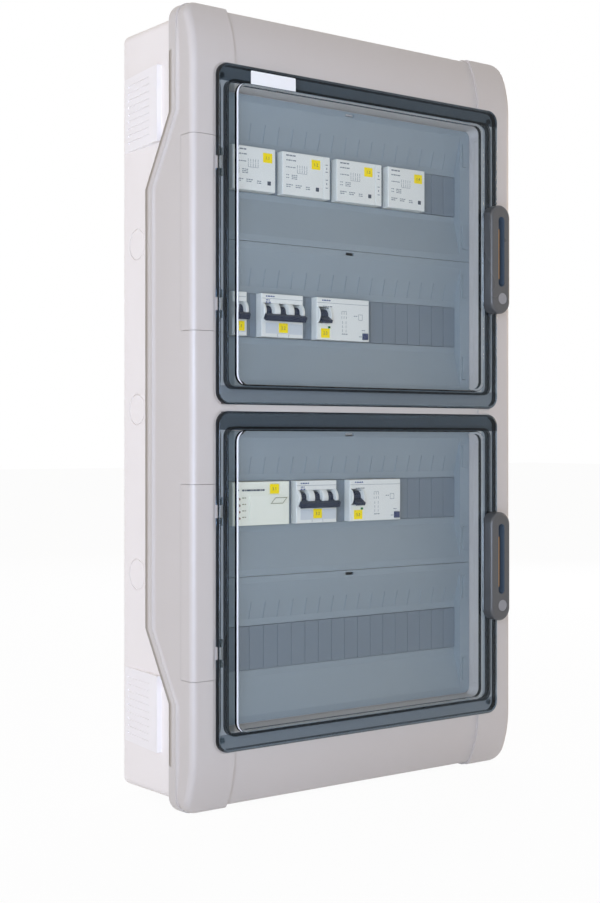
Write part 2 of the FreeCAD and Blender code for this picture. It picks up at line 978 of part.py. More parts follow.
def make_door(word):
    skin = door_skin(word)
    moving = []
    openings = []
    for number, height in hinge_spots(word).items():
        inner = f"({height}) + knuckle_length / 2 + knuckle_gap"
        outer = f"({height}) + knuckle_length / 2 + knuckle_side"
        moving += knuckle(f"door_knuckle_{word}_{number}_top", (inner, outer),
                          "knuckle_radius", "hinge_depth",
                          "door_front - door_wall / 2")
        inner = f"({height}) - knuckle_length / 2 - knuckle_gap"
        outer = f"({height}) - knuckle_length / 2 - knuckle_side"
        moving += knuckle(f"door_knuckle_{word}_{number}_low", (outer, inner),
                          "knuckle_radius", "hinge_depth",
                          "door_front - door_wall / 2")
        openings.append(block(
            f"knuckle_notch_{word}_{number}",
            ("-(door_width / 2 + door_wall)", "-(door_width / 2 - relief_width)"),
            ("door_back - door_wall", "hinge_depth + knuckle_radius + seal_gap"),
            middle(height, "knuckle_length + 2 * knuckle_gap"),
        ))
        openings.append(rod(
            f"door_pin_hole_{word}_{number}",
            "pin_radius + pin_clearance",
            HINGE_X,
            "hinge_depth",
            middle(height, "knuckle_length + 4 * knuckle_side"),
        ))
    lugs = handle_lugs(word)
    body = join(f"door_body_{word}", [skin, door_rib(word)] + moving + lugs)
    openings.append(block(
        f"tongue_slot_{word}",
        ("tongue_start - fit_gap", "tongue_start + tongue_width + tongue_room / 2"),
        ("door_back", "door_front + door_wall"),
        middle(HANDLES[word], "tongue_height + 2 * fit_gap"),
    ))
    openings.append(lug_bore(word))
    piece(f"door_{word}", cut(f"door_{word}", body, openings))


def door_skin(word):
    """The hollow pan with its raised middle."""
    x = middle("0", "door_width")
    z = middle(DOORS[word], "door_height")
    panel_x = ("-panel_left", "panel_right")
    panel_z = middle(DOORS[word], "panel_height")
    pan = rounded(f"pan_{word}", x, ("door_back", "door_front"), z,
                  "door_corner", front="door_edge")
    panel = rounded(f"panel_{word}", panel_x, ("door_back", "panel_front"),
                    panel_z, "panel_corner", front="panel_edge")
    inner_pan = rounded(
        f"pan_hollow_{word}",
        (f"{x[0]} + door_wall", f"{x[1]} - door_wall"),
        ("door_back - door_wall", "door_front - door_wall"),
        (f"{z[0]} + door_wall", f"{z[1]} - door_wall"),
        "door_corner - door_wall",
    )
    inner_panel = rounded(
        f"panel_hollow_{word}",
        ("-panel_left + door_wall", "panel_right - door_wall - handle_gap"),
        ("door_back - door_wall", "panel_front - door_wall"),
        (f"{panel_z[0]} + door_wall", f"{panel_z[1]} - door_wall"),
        "panel_corner - door_wall",
    )
    relief = block(
        f"hinge_relief_{word}",
        (f"{x[0]} - door_wall", f"{x[0]} + relief_width"),
        ("door_back - door_wall", "hinge_depth - relief_gap"),
        (f"{z[0]} - door_wall", f"{z[1]} + door_wall"),
    )
    handle_room = handle_outline(
        f"handle_room_{word}", word, "handle_gap",
        ("door_front", "panel_front + through"),
    )
    return cut(f"door_skin_{word}", join(f"door_solid_{word}", [pan, panel]),
               [inner_pan, inner_panel, relief, handle_room])


def seal_ring(name, word, grow, depth):
    """A frame round one opening in line with the door seal."""
    half = "seal_width / 2"

    def side(part, offset):
        return rounded(
            f"{name}_{part}",
            middle("0", f"2 * seal_x + 2 * ({offset})"),
            depth,
            middle(DOORS[word],
                   f"opening_height - opening_width + 2 * seal_x + 2 * ({offset})"),
            f"opening_corner + {offset}",
        )
    return cut(name, side("outer", f"{half} + {grow}"), [side("inner", f"-{half}")])


def door_rib(word):
    return seal_ring(f"door_rib_{word}", word, "0",
                     ("lid_depth + seal_height + seal_gap",
                      "door_front - door_wall / 2"))


# --------------------------------------------------------------- handles

def handle_outline(name, word, grow, depth, front=None):
    """The obround outline of a handle, wider by `grow` all round."""
    return rounded(
        name,
        middle("handle_x", f"handle_width + 2 * ({grow})"),
        depth,
        middle(HANDLES[word], f"handle_height + 2 * ({grow})"),
        f"handle_width / 2 + {grow} - round_slack",
        front=front,
    )


def pivot_spots(word):
    return {
        number: f"({HANDLES[word]}) + {sign} * pivot_spread / 2"
        for number, sign in ((1, "1"), (2, "-1"))
    }


def handle_lugs(word):
    """The two lugs on the door that carry the pivot of the handle."""
    return [
        block(
            f"handle_lug_{word}_{number}",
            middle("pivot_x", "2 * lug_half"),
            ("door_front - door_wall / 2", "pivot_depth + lug_half"),
            middle(height, "lug_length"),
        )
        for number, height in pivot_spots(word).items()
    ]


def lug_bore(word):
    return rod(
        f"lug_bore_{word}",
        "pivot_radius + pin_clearance",
        "pivot_x",
        "pivot_depth",
        middle(HANDLES[word], "pivot_spread + 2 * lug_length"),
    )


def make_handle(word):
    centre = HANDLES[word]
    grip = handle_outline(f"grip_{word}", word, "0",
                          ("handle_back", "handle_front"), front="handle_edge")
    slot = rounded(
        f"grip_slot_{word}",
        middle("slot_x", "slot_width"),
        ("handle_front - slot_sink", "handle_front + cap_sink"),
        middle(f"({centre}) + slot_shift", "slot_height"),
        "slot_width / 2 - round_slack",
    )
    seat = rod(
        f"cap_seat_{word}",
        "cap_radius + cap_gap",
        "cap_x",
        ("handle_front - cap_sink", "handle_front + cap_sink"),
        f"({centre}) - cap_shift",
    )
    rooms = [
        block(
            f"lug_room_{word}_{number}",
            middle("pivot_x", "2 * lug_room"),
            ("handle_back - lug_clearance", "pivot_depth + lug_half + lug_clearance"),
            middle(height, "lug_length + 2 * fit_gap"),
        )
        for number, height in pivot_spots(word).items()
    ]
    pivot = rod(f"handle_pivot_{word}", "pivot_radius", "pivot_x", "pivot_depth",
                middle(centre, "pivot_spread + 3 * lug_length"))
    tongue = block(
        f"tongue_{word}",
        ("tongue_start", "tongue_start + tongue_width"),
        ("tongue_tip", "handle_back + handle_gap"),
        middle(centre, "tongue_height"),
    )
    hollowed = cut(f"grip_cut_{word}", grip, [slot, seat] + rooms)
    piece(f"handle_{word}", join(f"handle_{word}", [hollowed, pivot, tongue]))
    piece(f"lock_cap_{word}", rod(
        f"lock_cap_{word}",
        "cap_radius",
        "cap_x",
        ("handle_front - cap_sink", "handle_front - cap_gap"),
        f"({centre}) - cap_shift",
    ))


# ---------------------------------------------------------- inner covers

COVER_HALF = "(row_spacing - fit_gap) / 2"
SLOPE_RUN = f"({COVER_HALF} - cover_rim - cover_fold)"
TROUGH_HALF = "(module_pitch * modules_per_row / 2 + cover_wall)"


def make_cover(row):
    centre = f"({ROWS[row]})"
    outer = [
        ("cover_rim_depth", f"-{COVER_HALF}"),
        ("cover_rim_depth", f"-({COVER_HALF} - cover_rim)"),
        ("cover_window_depth", "-cover_fold"),
        ("cover_window_depth", "cover_fold"),
        ("cover_rim_depth", f"({COVER_HALF} - cover_rim)"),
        ("cover_rim_depth", COVER_HALF),
    ]
    inner = [(f"{depth} - cover_wall", z) for depth, z in reversed(outer)]
    outline = [(depth, f"{centre} + {z}") for depth, z in outer + inner]
    solids = [profile(f"cover_trough_{row}", middle("0", f"2 * {TROUGH_HALF}"),
                      outline)]
    for side, sign in SIDES.items():
        solids.append(block(
            f"cover_flange_{row}_{side}",
            end_span(sign, f"{TROUGH_HALF} - cover_wall", "opening_width / 2"),
            ("cover_rim_depth - cover_wall", "cover_rim_depth"),
            middle(centre, f"2 * {COVER_HALF}"),
        ))
        solids.append(block(
            f"cover_cheek_{row}_{side}",
            end_span(sign, f"{TROUGH_HALF} - cover_wall", TROUGH_HALF),
            ("cover_window_depth - cover_wall", "cover_rim_depth"),
            middle(centre, f"2 * ({COVER_HALF} - cover_rim)"),
        ))
    solids.append(cover_ribs(row, centre))
    window = block(
        f"window_{row}",
        middle("0", "module_pitch * modules_per_row"),
        ("cover_window_depth - through", "cover_rim_depth + cover_wall"),
        middle(centre, "window_height"),
    )
    rim_top = f"{centre} + {COVER_HALF} - notch_drop"
    notch = block(
        f"notch_{row}",
        middle("0", "notch_width"),
        ("cover_window_depth", "cover_rim_depth + cover_wall"),
        (f"{rim_top} - notch_height", rim_top),
    )
    slots = [
        clip_block(f"clip_slot_{name}", row, sign, end, "seal_gap", "through")
        for name, sign, end in clip_places(row)
    ]
    bound_by = opening(
        f"cover_bound_{row}",
        "upper" if row < 3 else "lower",
        "-fit_gap",
        "cover_window_depth - through",
        "cover_rim_depth + cover_wall",
    )
    body = common(f"cover_body_{row}", join(f"cover_parts_{row}", solids), bound_by)
    piece(f"cover_panel_{row}",
          cut(f"cover_panel_{row}", body, [window, notch] + slots))


def cover_ribs(row, centre):
    """One thin rib at each module line on the upper slope."""
    slope = f"(cover_rim_depth - cover_window_depth) / {SLOPE_RUN}"
    low = "cover_window_depth"
    high = f"cover_window_depth + rib_height * {slope}"
    slab = profile(f"rib_slab_{row}", middle("0", f"2 * {TROUGH_HALF}"), [
        (f"{low} - cover_wall / 2", f"{centre} + cover_fold"),
        (f"{low} + rib_rise", f"{centre} + cover_fold"),
        (f"{high} + rib_rise", f"{centre} + cover_fold + rib_height"),
        (f"{high} - cover_wall / 2", f"{centre} + cover_fold + rib_height"),
    ])
    lines = [
        block(
            f"rib_line_{row}_{number}",
            middle(grid(number), "rib_width"),
            ("cover_window_depth - cover_wall", "cover_rim_depth"),
            middle(f"{centre} + cover_fold + rib_height / 2", "rib_height"),
        )
        for number in range(1, size_count("modules_per_row"))
    ]
    return common(f"cover_ribs_{row}", slab, join(f"rib_lines_{row}", lines))


def clip_places(row):
    return [
        (f"{row}_{side}_{end_name}", sign, end)
        for side, sign in SIDES.items()
        for end_name, end in (("top", "1"), ("low", "-1"))
    ]


def clip_block(name, row, sign, end, grow, rise):
    """One turn clip at the end of a cover, or the slot that it sits in."""
    return block(
        name,
        middle(f"{sign} * clip_x", f"clip_width + 2 * {grow}"),
        ("cover_rim_depth - 2 * cover_wall", f"cover_rim_depth + {rise}"),
        middle(f"({ROWS[row]}) + {end} * clip_shift", f"clip_height + 2 * {grow}"),
    )


def make_clips():
    return [
        clip_block(f"clip_{name}", row, sign, end, "0", "clip_rise")
        for row in ROWS
        for name, sign, end in clip_places(row)
    ]


# What stands in each row: kind, first module, width in modules.
DEVICES = {
    "contactor_1": (1, 0.5, 3),
    "contactor_2": (1, 4, 3),
    "aux_contact_2": (1, 7, 0.5),
    "contactor_3": (1, 8, 3),
    "aux_contact_3": (1, 11, 0.5),
    "contactor_4": (1, 12, 3),
    "breaker_1_pole": (2, 0.5, 1),
    "breaker_3_pole_a": (2, 2.5, 3),
    "residual_breaker_a": (2, 6.5, 4),
    "energy_meter": (3, 0.5, 4),
    "breaker_3_pole_b": (3, 5, 3),
    "residual_breaker_b": (3, 9, 4),
}


def free_spans(row):
    """The stretches of a row, in modules, that no device fills."""
    taken = sorted(
        (start, start + width)
        for place, start, width in DEVICES.values()
        if place == row
    )
    spans = []
    reached = 0
    for start, end in taken + [(size_count("modules_per_row"), 0)]:
        if start > reached:
            spans.append((reached, start))
        reached = end
    return spans


def make_strip(row):
    """The blanking pieces of one row, grooved at each module line."""
    centre = ROWS[row]
    solids = []
    for number, (start, end) in enumerate(free_spans(row), start=1):
        x = (f"{grid(start)} + device_gap", f"{grid(end)} - device_gap")
        name = f"strip_{row}_{number}"
        face = block(name + "_face", x, ("strip_back", "strip_depth"),
                     middle(centre, "nose_height"))
        lip = block(
            name + "_lip",
            x,
            ("strip_back", "cover_window_depth - cover_wall - seal_gap"),
            middle(centre, "window_height + 2 * strip_lip"),
        )
        lines = [
            block(
                f"{name}_line_{line}",
                middle(grid(line), "line_width"),
                ("strip_depth - line_sink", "strip_depth + line_sink"),
                middle(centre, "window_height"),
            )
            for line in range(int(start) + 1, math.ceil(end))
        ]
        strip = join(name, [face, lip])
        solids.append(cut(name + "_lined", strip, lines) if lines else strip)
    return solids


# -------------------------------------------------- rails and uprights

def make_rail(row):
    centre = f"({ROWS[row]})"
    half = "rail_height / 2"
    channel = "rail_channel / 2"
    web = "rail_front - rail_rise"
    upper = [
        ("rail_front - rail_wall", half),
        ("rail_front - rail_wall", f"{channel} + rail_wall"),
        (web, f"{channel} + rail_wall"),
    ]
    front = [
        (f"{web} + rail_wall", channel),
        ("rail_front", channel),
        ("rail_front", half),
    ]
    lower = [(depth, f"-({z})") for depth, z in reversed(upper)]
    lower_front = [(depth, f"-({z})") for depth, z in reversed(front)]
    outline = [(depth, f"{centre} + {z}")
               for depth, z in upper + lower + lower_front + front]
    hat = profile(f"rail_{row}", middle("0", "rail_length"), outline)
    return piece(f"din_rail_{row}", cut(f"din_rail_{row}", hat, [
        frame_bore(f"rail_hole_{row}_{side}", sign, centre)
        for side, sign in SIDES.items()
    ]))


def frame_bore(name, sign, z):
    return rod(name, "rail_screw_radius", f"{sign} * upright_x",
               ("rail_front - rail_rise - upright_thickness - rail_wall",
                "rail_front"), z)


def make_upright(side):
    sign = SIDES[side]
    bar = block(
        f"upright_bar_{side}",
        middle(f"{sign} * upright_x", "upright_width"),
        ("rail_front - rail_rise - upright_thickness", "rail_front - rail_rise"),
        middle("0", "upright_height"),
    )
    holes = [frame_bore(f"{side}_bore_{row}", sign, z) for row, z in ROWS.items()]
    holes += [
        frame_bore(f"{side}_boss_bore_{number + 2}", sign,
                   f"{number} * upright_boss_spacing")
        for number in (-1, 0, 1)
    ]
    piece(f"upright_{side}", cut(f"upright_{side}", bar, holes))


def make_frame_screws():
    """Pan-head screws: two through each rail, three down each upright."""
    web = "rail_front - rail_rise"
    spots = [(f"rail_{row}", z, f"{web} + rail_wall") for row, z in ROWS.items()]
    spots += [
        (f"boss_{number + 2}", f"{number} * upright_boss_spacing", web)
        for number in (-1, 0, 1)
    ]
    return [
        screw(
            f"frame_screw_{name}_{side}",
            f"{sign} * upright_x",
            seat,
            z,
            ("rail_screw_head", "rail_screw_head_height", "rail_screw_slot"),
            ("rail_screw_radius - screw_clearance", "upright_thickness"),
        )
        for side, sign in SIDES.items()
        for name, z, seat in spots
    ]


def screw(name, x, seat, z, head, shank):
    """A slotted screw: its head as radius, height and slot width, its shank
    as radius and length."""
    radius, height, slot = head
    cap = rod(name + "_head", radius, x, (seat, f"{seat} + {height}"), z)
    stem = rod(name + "_stem", shank[0], x,
               (f"{seat} - {shank[1]}", f"{seat} + {height} / 2"), z)
    recess = block(
        name + "_slot",
        middle(x, f"2 * {radius} + 2 * {slot}"),
        (f"{seat} + {height} / 2", f"{seat} + 2 * {height}"),
        middle(z, slot),
    )
    return cut(name, join(name + "_body", [cap, stem]), [recess])


def make_lid_screws():
    return [
        screw(
            f"lid_screw_{side}_{number + 2}",
            f"{sign} * screw_x",
            "lid_depth",
            f"{number} * screw_z",
            ("screw_head_radius", "screw_head_height", "screw_slot_width"),
            ("screw_radius - screw_clearance", "screw_length"),
        )
        for side, sign in SIDES.items()
        for number in (-1, 1)
    ]


def make_terminal_bar(name, sign):
    centre = f"{sign} * bar_height"
    bar = block(name + "_bar", middle("0", "bar_length"),
                ("bar_back", "bar_back + bar_size"), middle(centre, "bar_size"))
    holes = [
        rod(
            f"{name}_hole_{number + 1}",
            "bar_hole_radius",
            f"({number} - (bar_hole_count - 1) / 2) * bar_hole_pitch",
            ("bar_back + bar_floor", "bar_back + bar_size + bar_floor"),
            centre,
        )
        for number in range(size_count("bar_hole_count"))
    ]
    piece(name, cut(name, bar, holes))


# --------------------------------------------------------------- devices

def device_block(name):
    """The common outline of a rail device: shoulders that clip over the
    rail and a narrower nose that looks through the window."""
    row, start, width = DEVICES[name]
    centre = f"({ROWS[row]})"
    shoulder = "shoulder_height / 2"
    nose = "nose_height / 2"
    clip = "rail_height / 2 + fit_gap"
    half = [
        ("nose_front", nose),
        ("shoulder_depth", nose),
        ("shoulder_depth", shoulder),
        ("device_back", shoulder),
        ("device_back", clip),
        ("rail_front", clip),
    ]
    other = [(depth, f"-({z})") for depth, z in reversed(half)]
    outline = [(depth, f"{centre} + {z}") for depth, z in half + other]
    x = (f"{grid(start)} + device_gap / 2", f"{grid(start + width)} - device_gap / 2")
    body = profile(name + "_body", x, outline)
    round_body(body, edges_in_front(body.Shape), "device_edge")
    return body


def pole_places(name, width):
    """The middle of each pole of a device."""
    return [grid(DEVICES[name][1] + pole + 0.5) for pole in range(width)]


def terminal_holes(name, poles):
    centre = f"({ROWS[DEVICES[name][0]]})"
    return [
        rod(
            f"{name}_terminal_{number}_{end_name}",
            "terminal_radius",
            x,
            ("shoulder_depth - terminal_sink", "shoulder_depth + terminal_sink"),
            f"{centre} + {end} * terminal_shift",
        )
        for number, x in enumerate(poles, start=1)
        for end_name, end in (("top", "1"), ("low", "-1"))
    ]


def make_plain_device(name):
    width = max(1, int(DEVICES[name][2]))
    body = device_block(name)
    if DEVICES[name][2] < 1:
        return piece(name, body)
    holes = terminal_holes(name, pole_places(name, width))
    return piece(name, cut(name, body, holes))


def toggle_height(name):
    return f"({ROWS[DEVICES[name][0]]}) + toggle_raise"


def make_breaker(name, levers, drum_width, extra_cuts=()):
    """A breaker body with a slot and a pivot pin for each lever."""
    slot_width = f"({drum_width} + 2 * drum_room)"
    z = toggle_height(name)
    cuts = terminal_holes(name, pole_places(name, int(DEVICES[name][2])))
    pins = []
    for number, x in enumerate(levers, start=1):
        cuts.append(block(
            f"{name}_slot_{number}",
            middle(x, slot_width),
            ("toggle_slot_back", "nose_front + drum_room"),
            middle(z, "toggle_slot_height"),
        ))
        pins.append(rod(
            f"{name}_pin_{number}",
            "pivot_pin_radius",
            middle(x, f"{slot_width} + 2 * drum_room"),
            "toggle_depth",
            z,
        ))
    body = cut(name + "_cut", device_block(name), cuts + list(extra_cuts))
    piece(name, join(name, [body] + pins))


def make_toggle(name, levers, drum_width, tied):
    """The drums and levers of a breaker in the off position, tied by a bar."""
    z = toggle_height(name)
    half = "lever_thickness / 2"

    def along(reach, offset):
        """A point so far out along the lever and so far off its middle."""
        return (
            f"toggle_depth + ({reach}) * cos(lever_angle)"
            f" + ({offset}) * sin(lever_angle)",
            f"{z} - ({reach}) * sin(lever_angle)"
            f" + ({offset}) * cos(lever_angle)",
        )
    solids = []
    for number, x in enumerate(levers, start=1):
        solids.append(rod(f"{name}_drum_{number}", "drum_radius",
                          middle(x, drum_width), "toggle_depth", z))
        solids.append(profile(
            f"{name}_lever_{number}",
            middle(x, drum_width),
            [along("0", half), along("lever_tip", f"{half} * lever_taper"),
             along("lever_tip", f"-{half} * lever_taper"), along("0", f"-({half})")],
        ))
    if tied:
        first, last = grid_ends(name)
        solids.append(profile(
            f"{name}_tie",
            (f"{first} + tie_margin", f"{last} - tie_margin"),
            [along("lever_tip - tie_depth", "tie_half"),
             along("lever_tip", "tie_half"), along("lever_tip", "-tie_half"),
             along("lever_tip - tie_depth", "-tie_half")],
        ))
    bore = rod(
        f"{name}_bore",
        "pivot_pin_radius + pin_clearance",
        tuple(grid_ends(name)),
        "toggle_depth",
        z,
    )
    whole = join(f"{name}_toggle_body", solids)
    piece(f"{name}_toggle", cut(f"{name}_toggle", whole, [bore]))


def grid_ends(name):
    row, start, width = DEVICES[name]
    return grid(start), grid(start + width)


def make_residual_breaker(name):
    first, last = grid_ends(name)
    x = middle(f"{last} - button_margin", "button_size")
    z = middle(f"({ROWS[DEVICES[name][0]]}) - button_drop", "button_size")
    room = block(
        f"{name}_button_room",
        (f"{x[0]} - button_room", f"{x[1]} + button_room"),
        ("nose_front - button_length - button_travel - button_room",
         "nose_front + button_room"),
        (f"{z[0]} - button_room", f"{z[1]} + button_room"),
    )
    lever = [f"{first} + rcbo_toggle_x"]
    make_breaker(name, lever, "rcbo_drum_width", [room])
    make_toggle(name, lever, "rcbo_drum_width", False)
    piece(f"{name}_test_button", block(
        f"{name}_test_button",
        x,
        ("nose_front - button_length", "nose_front + button_rise"),
        z,
    ))


def make_meter():
    name = "energy_meter"
    first = grid_ends(name)[0]
    centre = f"({ROWS[DEVICES[name][0]]})"
    panel = rounded(
        "meter_panel",
        middle(f"{first} + meter_panel_x", "meter_panel_width"),
        ("nose_front - meter_panel_rise", "nose_front + meter_panel_rise"),
        middle(f"{centre} - meter_panel_drop", "meter_panel_height"),
        "meter_panel_corner",
    )
    body = join("meter_body", [device_block(name), panel])
    holes = terminal_holes(name, pole_places(name, int(DEVICES[name][2])))
    lamps = []
    for number in range(size_count("lamp_count")):
        z = (f"{centre} + ((lamp_count - 1) / 2 - {number}) * lamp_pitch"
             " - meter_panel_drop")
        lamps.append(rod(
            f"meter_lamp_{number + 1}",
            "lamp_radius",
            f"{first} + lamp_x",
            ("nose_front - lamp_sink", "nose_front + lamp_rise"),
            z,
        ))
        holes.append(rod(
            f"meter_lamp_hole_{number + 1}",
            "lamp_radius + screw_clearance",
            f"{first} + lamp_x",
            ("nose_front - lamp_sink", "nose_front + lamp_sink"),
            z,
        ))
    piece(name, cut(name, body, holes))
    piece("meter_lamps", group("meter_lamps", lamps))


# -------------------------------------------------------------- assembly

def make_gaskets():
    piece("lid_gasket", rim_ring(
        "lid_gasket", ("base_depth", "base_depth + gasket_height")
    ))
    for word in DOORS:
        piece(f"door_seal_{word}", seal_ring(
            f"door_seal_{word}", word, "0",
            ("lid_depth", "lid_depth + seal_height"),
        ))


def make_devices():
    for name, (row, start, width) in DEVICES.items():
        if name.startswith("breaker"):
            levers = pole_places(name, width)
            make_breaker(name, levers, "drum_width")
            make_toggle(name, levers, "drum_width", True)
        elif name.startswith("residual"):
            make_residual_breaker(name)
        elif name == "energy_meter":
            make_meter()
        else:
            make_plain_device(name)


def make_enclosure():
    piece("base_housing", make_base())
    make_side_plates()
    make_inserts(make_lid())
    make_gaskets()
    piece("lid_screws", group("lid_screws", make_lid_screws()))
    for word in DOORS:
        make_door(word)
        make_handle(word)
    piece("hinge_pins", group("hinge_pins", make_hinge_pins()))
    for row in ROWS:
        make_cover(row)
        piece(f"blanking_strip_{row}", group(f"blanking_strip_{row}", make_strip(row)))
        make_rail(row)
    piece("cover_clips", group("cover_clips", make_clips()))
    for side in SIDES:
        make_upright(side)
    piece("frame_screws", group("frame_screws", make_frame_screws()))
    make_terminal_bar("earth_terminal_bar", "-1")
    make_terminal_bar("neutral_terminal_bar", "1")
    make_devices()


def check_document():
    for item in doc.Objects:
        if {"Invalid", "Error"} & set(item.State):
            raise RuntimeError(f"{item.Name} failed: {item.State}")
    for solid in pieces:
        if solid.Shape.isNull() or not solid.Shape.isValid():
            raise RuntimeError(f"{solid.Label} has no valid shape")


make_enclosure()
doc.recompute()
check_document()
os.makedirs("parts", exist_ok=True)
for solid in pieces:
    solid.Shape.exportStep(f"parts/{solid.Label}.step")
    print(f"{solid.Label}: {len(solid.Shape.Solids)} solids, "
          f"{solid.Shape.Volume / 1000:.1f} cm3")
print(f"{len(pieces)} sub-parts")
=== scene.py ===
import math

import bpy
from mathutils import Matrix, Vector


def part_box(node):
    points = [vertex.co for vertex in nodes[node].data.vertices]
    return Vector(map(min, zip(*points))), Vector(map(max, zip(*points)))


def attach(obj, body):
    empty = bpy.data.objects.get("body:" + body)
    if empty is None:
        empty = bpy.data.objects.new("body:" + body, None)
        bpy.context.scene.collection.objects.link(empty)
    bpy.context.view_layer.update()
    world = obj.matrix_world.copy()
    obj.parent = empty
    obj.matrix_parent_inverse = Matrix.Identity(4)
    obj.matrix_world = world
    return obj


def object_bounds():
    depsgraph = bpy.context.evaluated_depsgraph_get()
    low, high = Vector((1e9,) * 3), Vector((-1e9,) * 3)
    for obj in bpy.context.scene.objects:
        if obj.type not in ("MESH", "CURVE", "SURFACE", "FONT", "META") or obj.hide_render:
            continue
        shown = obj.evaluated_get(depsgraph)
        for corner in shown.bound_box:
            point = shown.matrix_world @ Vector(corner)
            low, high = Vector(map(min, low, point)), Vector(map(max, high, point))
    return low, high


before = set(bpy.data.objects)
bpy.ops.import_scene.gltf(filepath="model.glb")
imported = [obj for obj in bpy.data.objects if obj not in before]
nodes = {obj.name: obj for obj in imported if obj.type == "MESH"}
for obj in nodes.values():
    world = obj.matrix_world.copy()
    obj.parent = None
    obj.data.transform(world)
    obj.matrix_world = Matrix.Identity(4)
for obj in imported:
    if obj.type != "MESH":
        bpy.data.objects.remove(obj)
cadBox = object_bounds()
mm = 0.001
print("frame loaded:", len(nodes), "nodes")


def linear(hexText):
    parts = [int(hexText[i:i + 2], 16) / 255 for i in (1, 3, 5)]
    return [c / 12.92 if c <= 0.04045 else ((c + 0.055) / 1.055) ** 2.4 for c in parts] + [1.0]


# settings are inputs or properties of the node; a link may give a whole node, for its first output
def addNode(tree, kind, settings=None, links=None):
    node = tree.nodes.new("ShaderNode" + kind)
    for key, value in (settings or {}).items():
        if isinstance(key, int) or key in node.inputs:
            node.inputs[key].default_value = value
        else:
            setattr(node, key, value)
    for key, source in (links or {}).items():
        if isinstance(source, bpy.types.Node):
            source = source.outputs[0]
        tree.links.new(source, node.inputs[key])
    return node


def newMaterial(name):
    material = bpy.data.materials.new(name)
    material.use_nodes = True
    material.node_tree.nodes.clear()
    return material, material.node_tree


# a finish wanders between its colour and its shade
def wanderingTone(tree, recipe, share):
    settings = {"data_type": "RGBA", 6: linear(recipe["colour"]), 7: linear(recipe["shade"])}
    return addNode(tree, "Mix", settings, {0: share}).outputs[2]


# injection-moulded thermoplastics: a spark-eroded satin grain and a faint drift of the tone
# grain is the mean width of the texture in mm, drawn about twice as coarse as the real one so that it shows
mould = {"driftWidth": 71.43, "driftLow": 0.3, "driftHigh": 0.7, "polishChange": 0.04, "reliefDepth": 0.1}
refraction = {"Polystyrene": 1.59, "Abs": 1.54, "Polyamide": 1.53, "Polycarbonate": 1.58, "Rubber": 1.52,
              "Acrylic": 1.49}
plastics = {
    "lidPolystyrene": {"colour": "#C6BFB9", "shade": "#C2BBB5", "rough": 0.38, "grain": 0.9, "bump": 0.05},
    "tubPolystyrene": {"colour": "#EFE8E2", "shade": "#EBE4DE", "rough": 0.5, "grain": 0.9, "bump": 0.05},
    "platePolystyrene": {"colour": "#F3EEEB", "shade": "#F0EBE8", "rough": 0.45, "grain": 0.9, "bump": 0.04},
    "coverAbs": {"colour": "#8F989C", "shade": "#8B9498", "rough": 0.4, "grain": 1.2, "bump": 0.03},
    "stripAbs": {"colour": "#767F86", "shade": "#727B82", "rough": 0.4, "grain": 1.2, "bump": 0.03},
    "devicePolyamide": {"colour": "#E6E5DD", "shade": "#E2E1D9", "rough": 0.38, "grain": 0.8, "bump": 0.03},
    "meterPolycarbonate": {"colour": "#ECEBDA", "shade": "#E8E7D6", "rough": 0.35, "grain": 0.8,
                           "bump": 0.02},
    "panelPolyamide": {"colour": "#CFD2D2", "shade": "#CACDCD", "rough": 0.3, "grain": 0.8, "bump": 0.02},
    "handlePolyamide": {"colour": "#4F4F4F", "shade": "#4A4A4A", "rough": 0.27, "grain": 0.7, "bump": 0.07},
    "capPolyamide": {"colour": "#8A8A8C", "shade": "#858587", "rough": 0.42, "grain": 0.6, "bump": 0.05},
    "togglePolyamide": {"colour": "#262E42", "shade": "#222A3C", "rough": 0.4, "grain": 0.6, "bump": 0.04,
                        "gloss": 0.25},
    "buttonPolyamide": {"colour": "#26345E", "shade": "#222E54", "rough": 0.35, "grain": 0.6, "bump": 0.03},
    "sealRubber": {"colour": "#1B1C1E", "shade": "#141517", "rough": 0.75, "grain": 0.5, "bump": 0.1},
    "lampAcrylic": {"colour": "#7A3A2C", "shade": "#6B3126", "rough": 0.2, "grain": 0.5, "bump": 0.01},
    # the slate colour is painted shade, for the dark of the handle slots
    "slotShadeAcrylic": {"colour": "#56636F", "shade": "#505D69", "rough": 0.2, "grain": 0.5, "bump": 0.01},
    # the amber colour is a painted reflection, the warm glint on the lip of the handle slots
    "amberReflectionAcrylic": {"colour": "#B98746", "shade": "#A97A3D", "rough": 0.25, "grain": 0.5, "bump": 0.01},
}


def mouldedPlastic(name):
    recipe = plastics[name]
    ior = next(value for resin, value in refraction.items() if name.endswith(resin))
    dull, shiny = recipe["rough"] + mould["polishChange"], recipe["rough"] - mould["polishChange"]
    material, tree = newMaterial(name)
    place = addNode(tree, "TexCoord").outputs["Object"]
    drift = addNode(tree, "TexNoise", {"Scale": 1 / (mould["driftWidth"] * mm), "Detail": 3.0},
                    {"Vector": place})
    grain = addNode(tree, "TexNoise", {"Scale": 1 / (recipe["grain"] * mm), "Detail": 2.0}, {"Vector": place})
    polish = addNode(tree, "MapRange", {"From Min": mould["driftLow"], "From Max": mould["driftHigh"],
                                        "To Min": shiny, "To Max": dull}, {"Value": drift})
    relief = addNode(tree, "Bump", {"Strength": recipe["bump"], "Distance": mould["reliefDepth"] * mm},
                     {"Height": grain})
    surface = addNode(tree, "BsdfPrincipled", {"IOR": ior, "Specular IOR Level": recipe.get("gloss", 0.5)},
                      {"Base Color": wanderingTone(tree, recipe, drift), "Roughness": polish,
                       "Normal": relief})
    addNode(tree, "OutputMaterial", {}, {"Surface": surface})
    return material
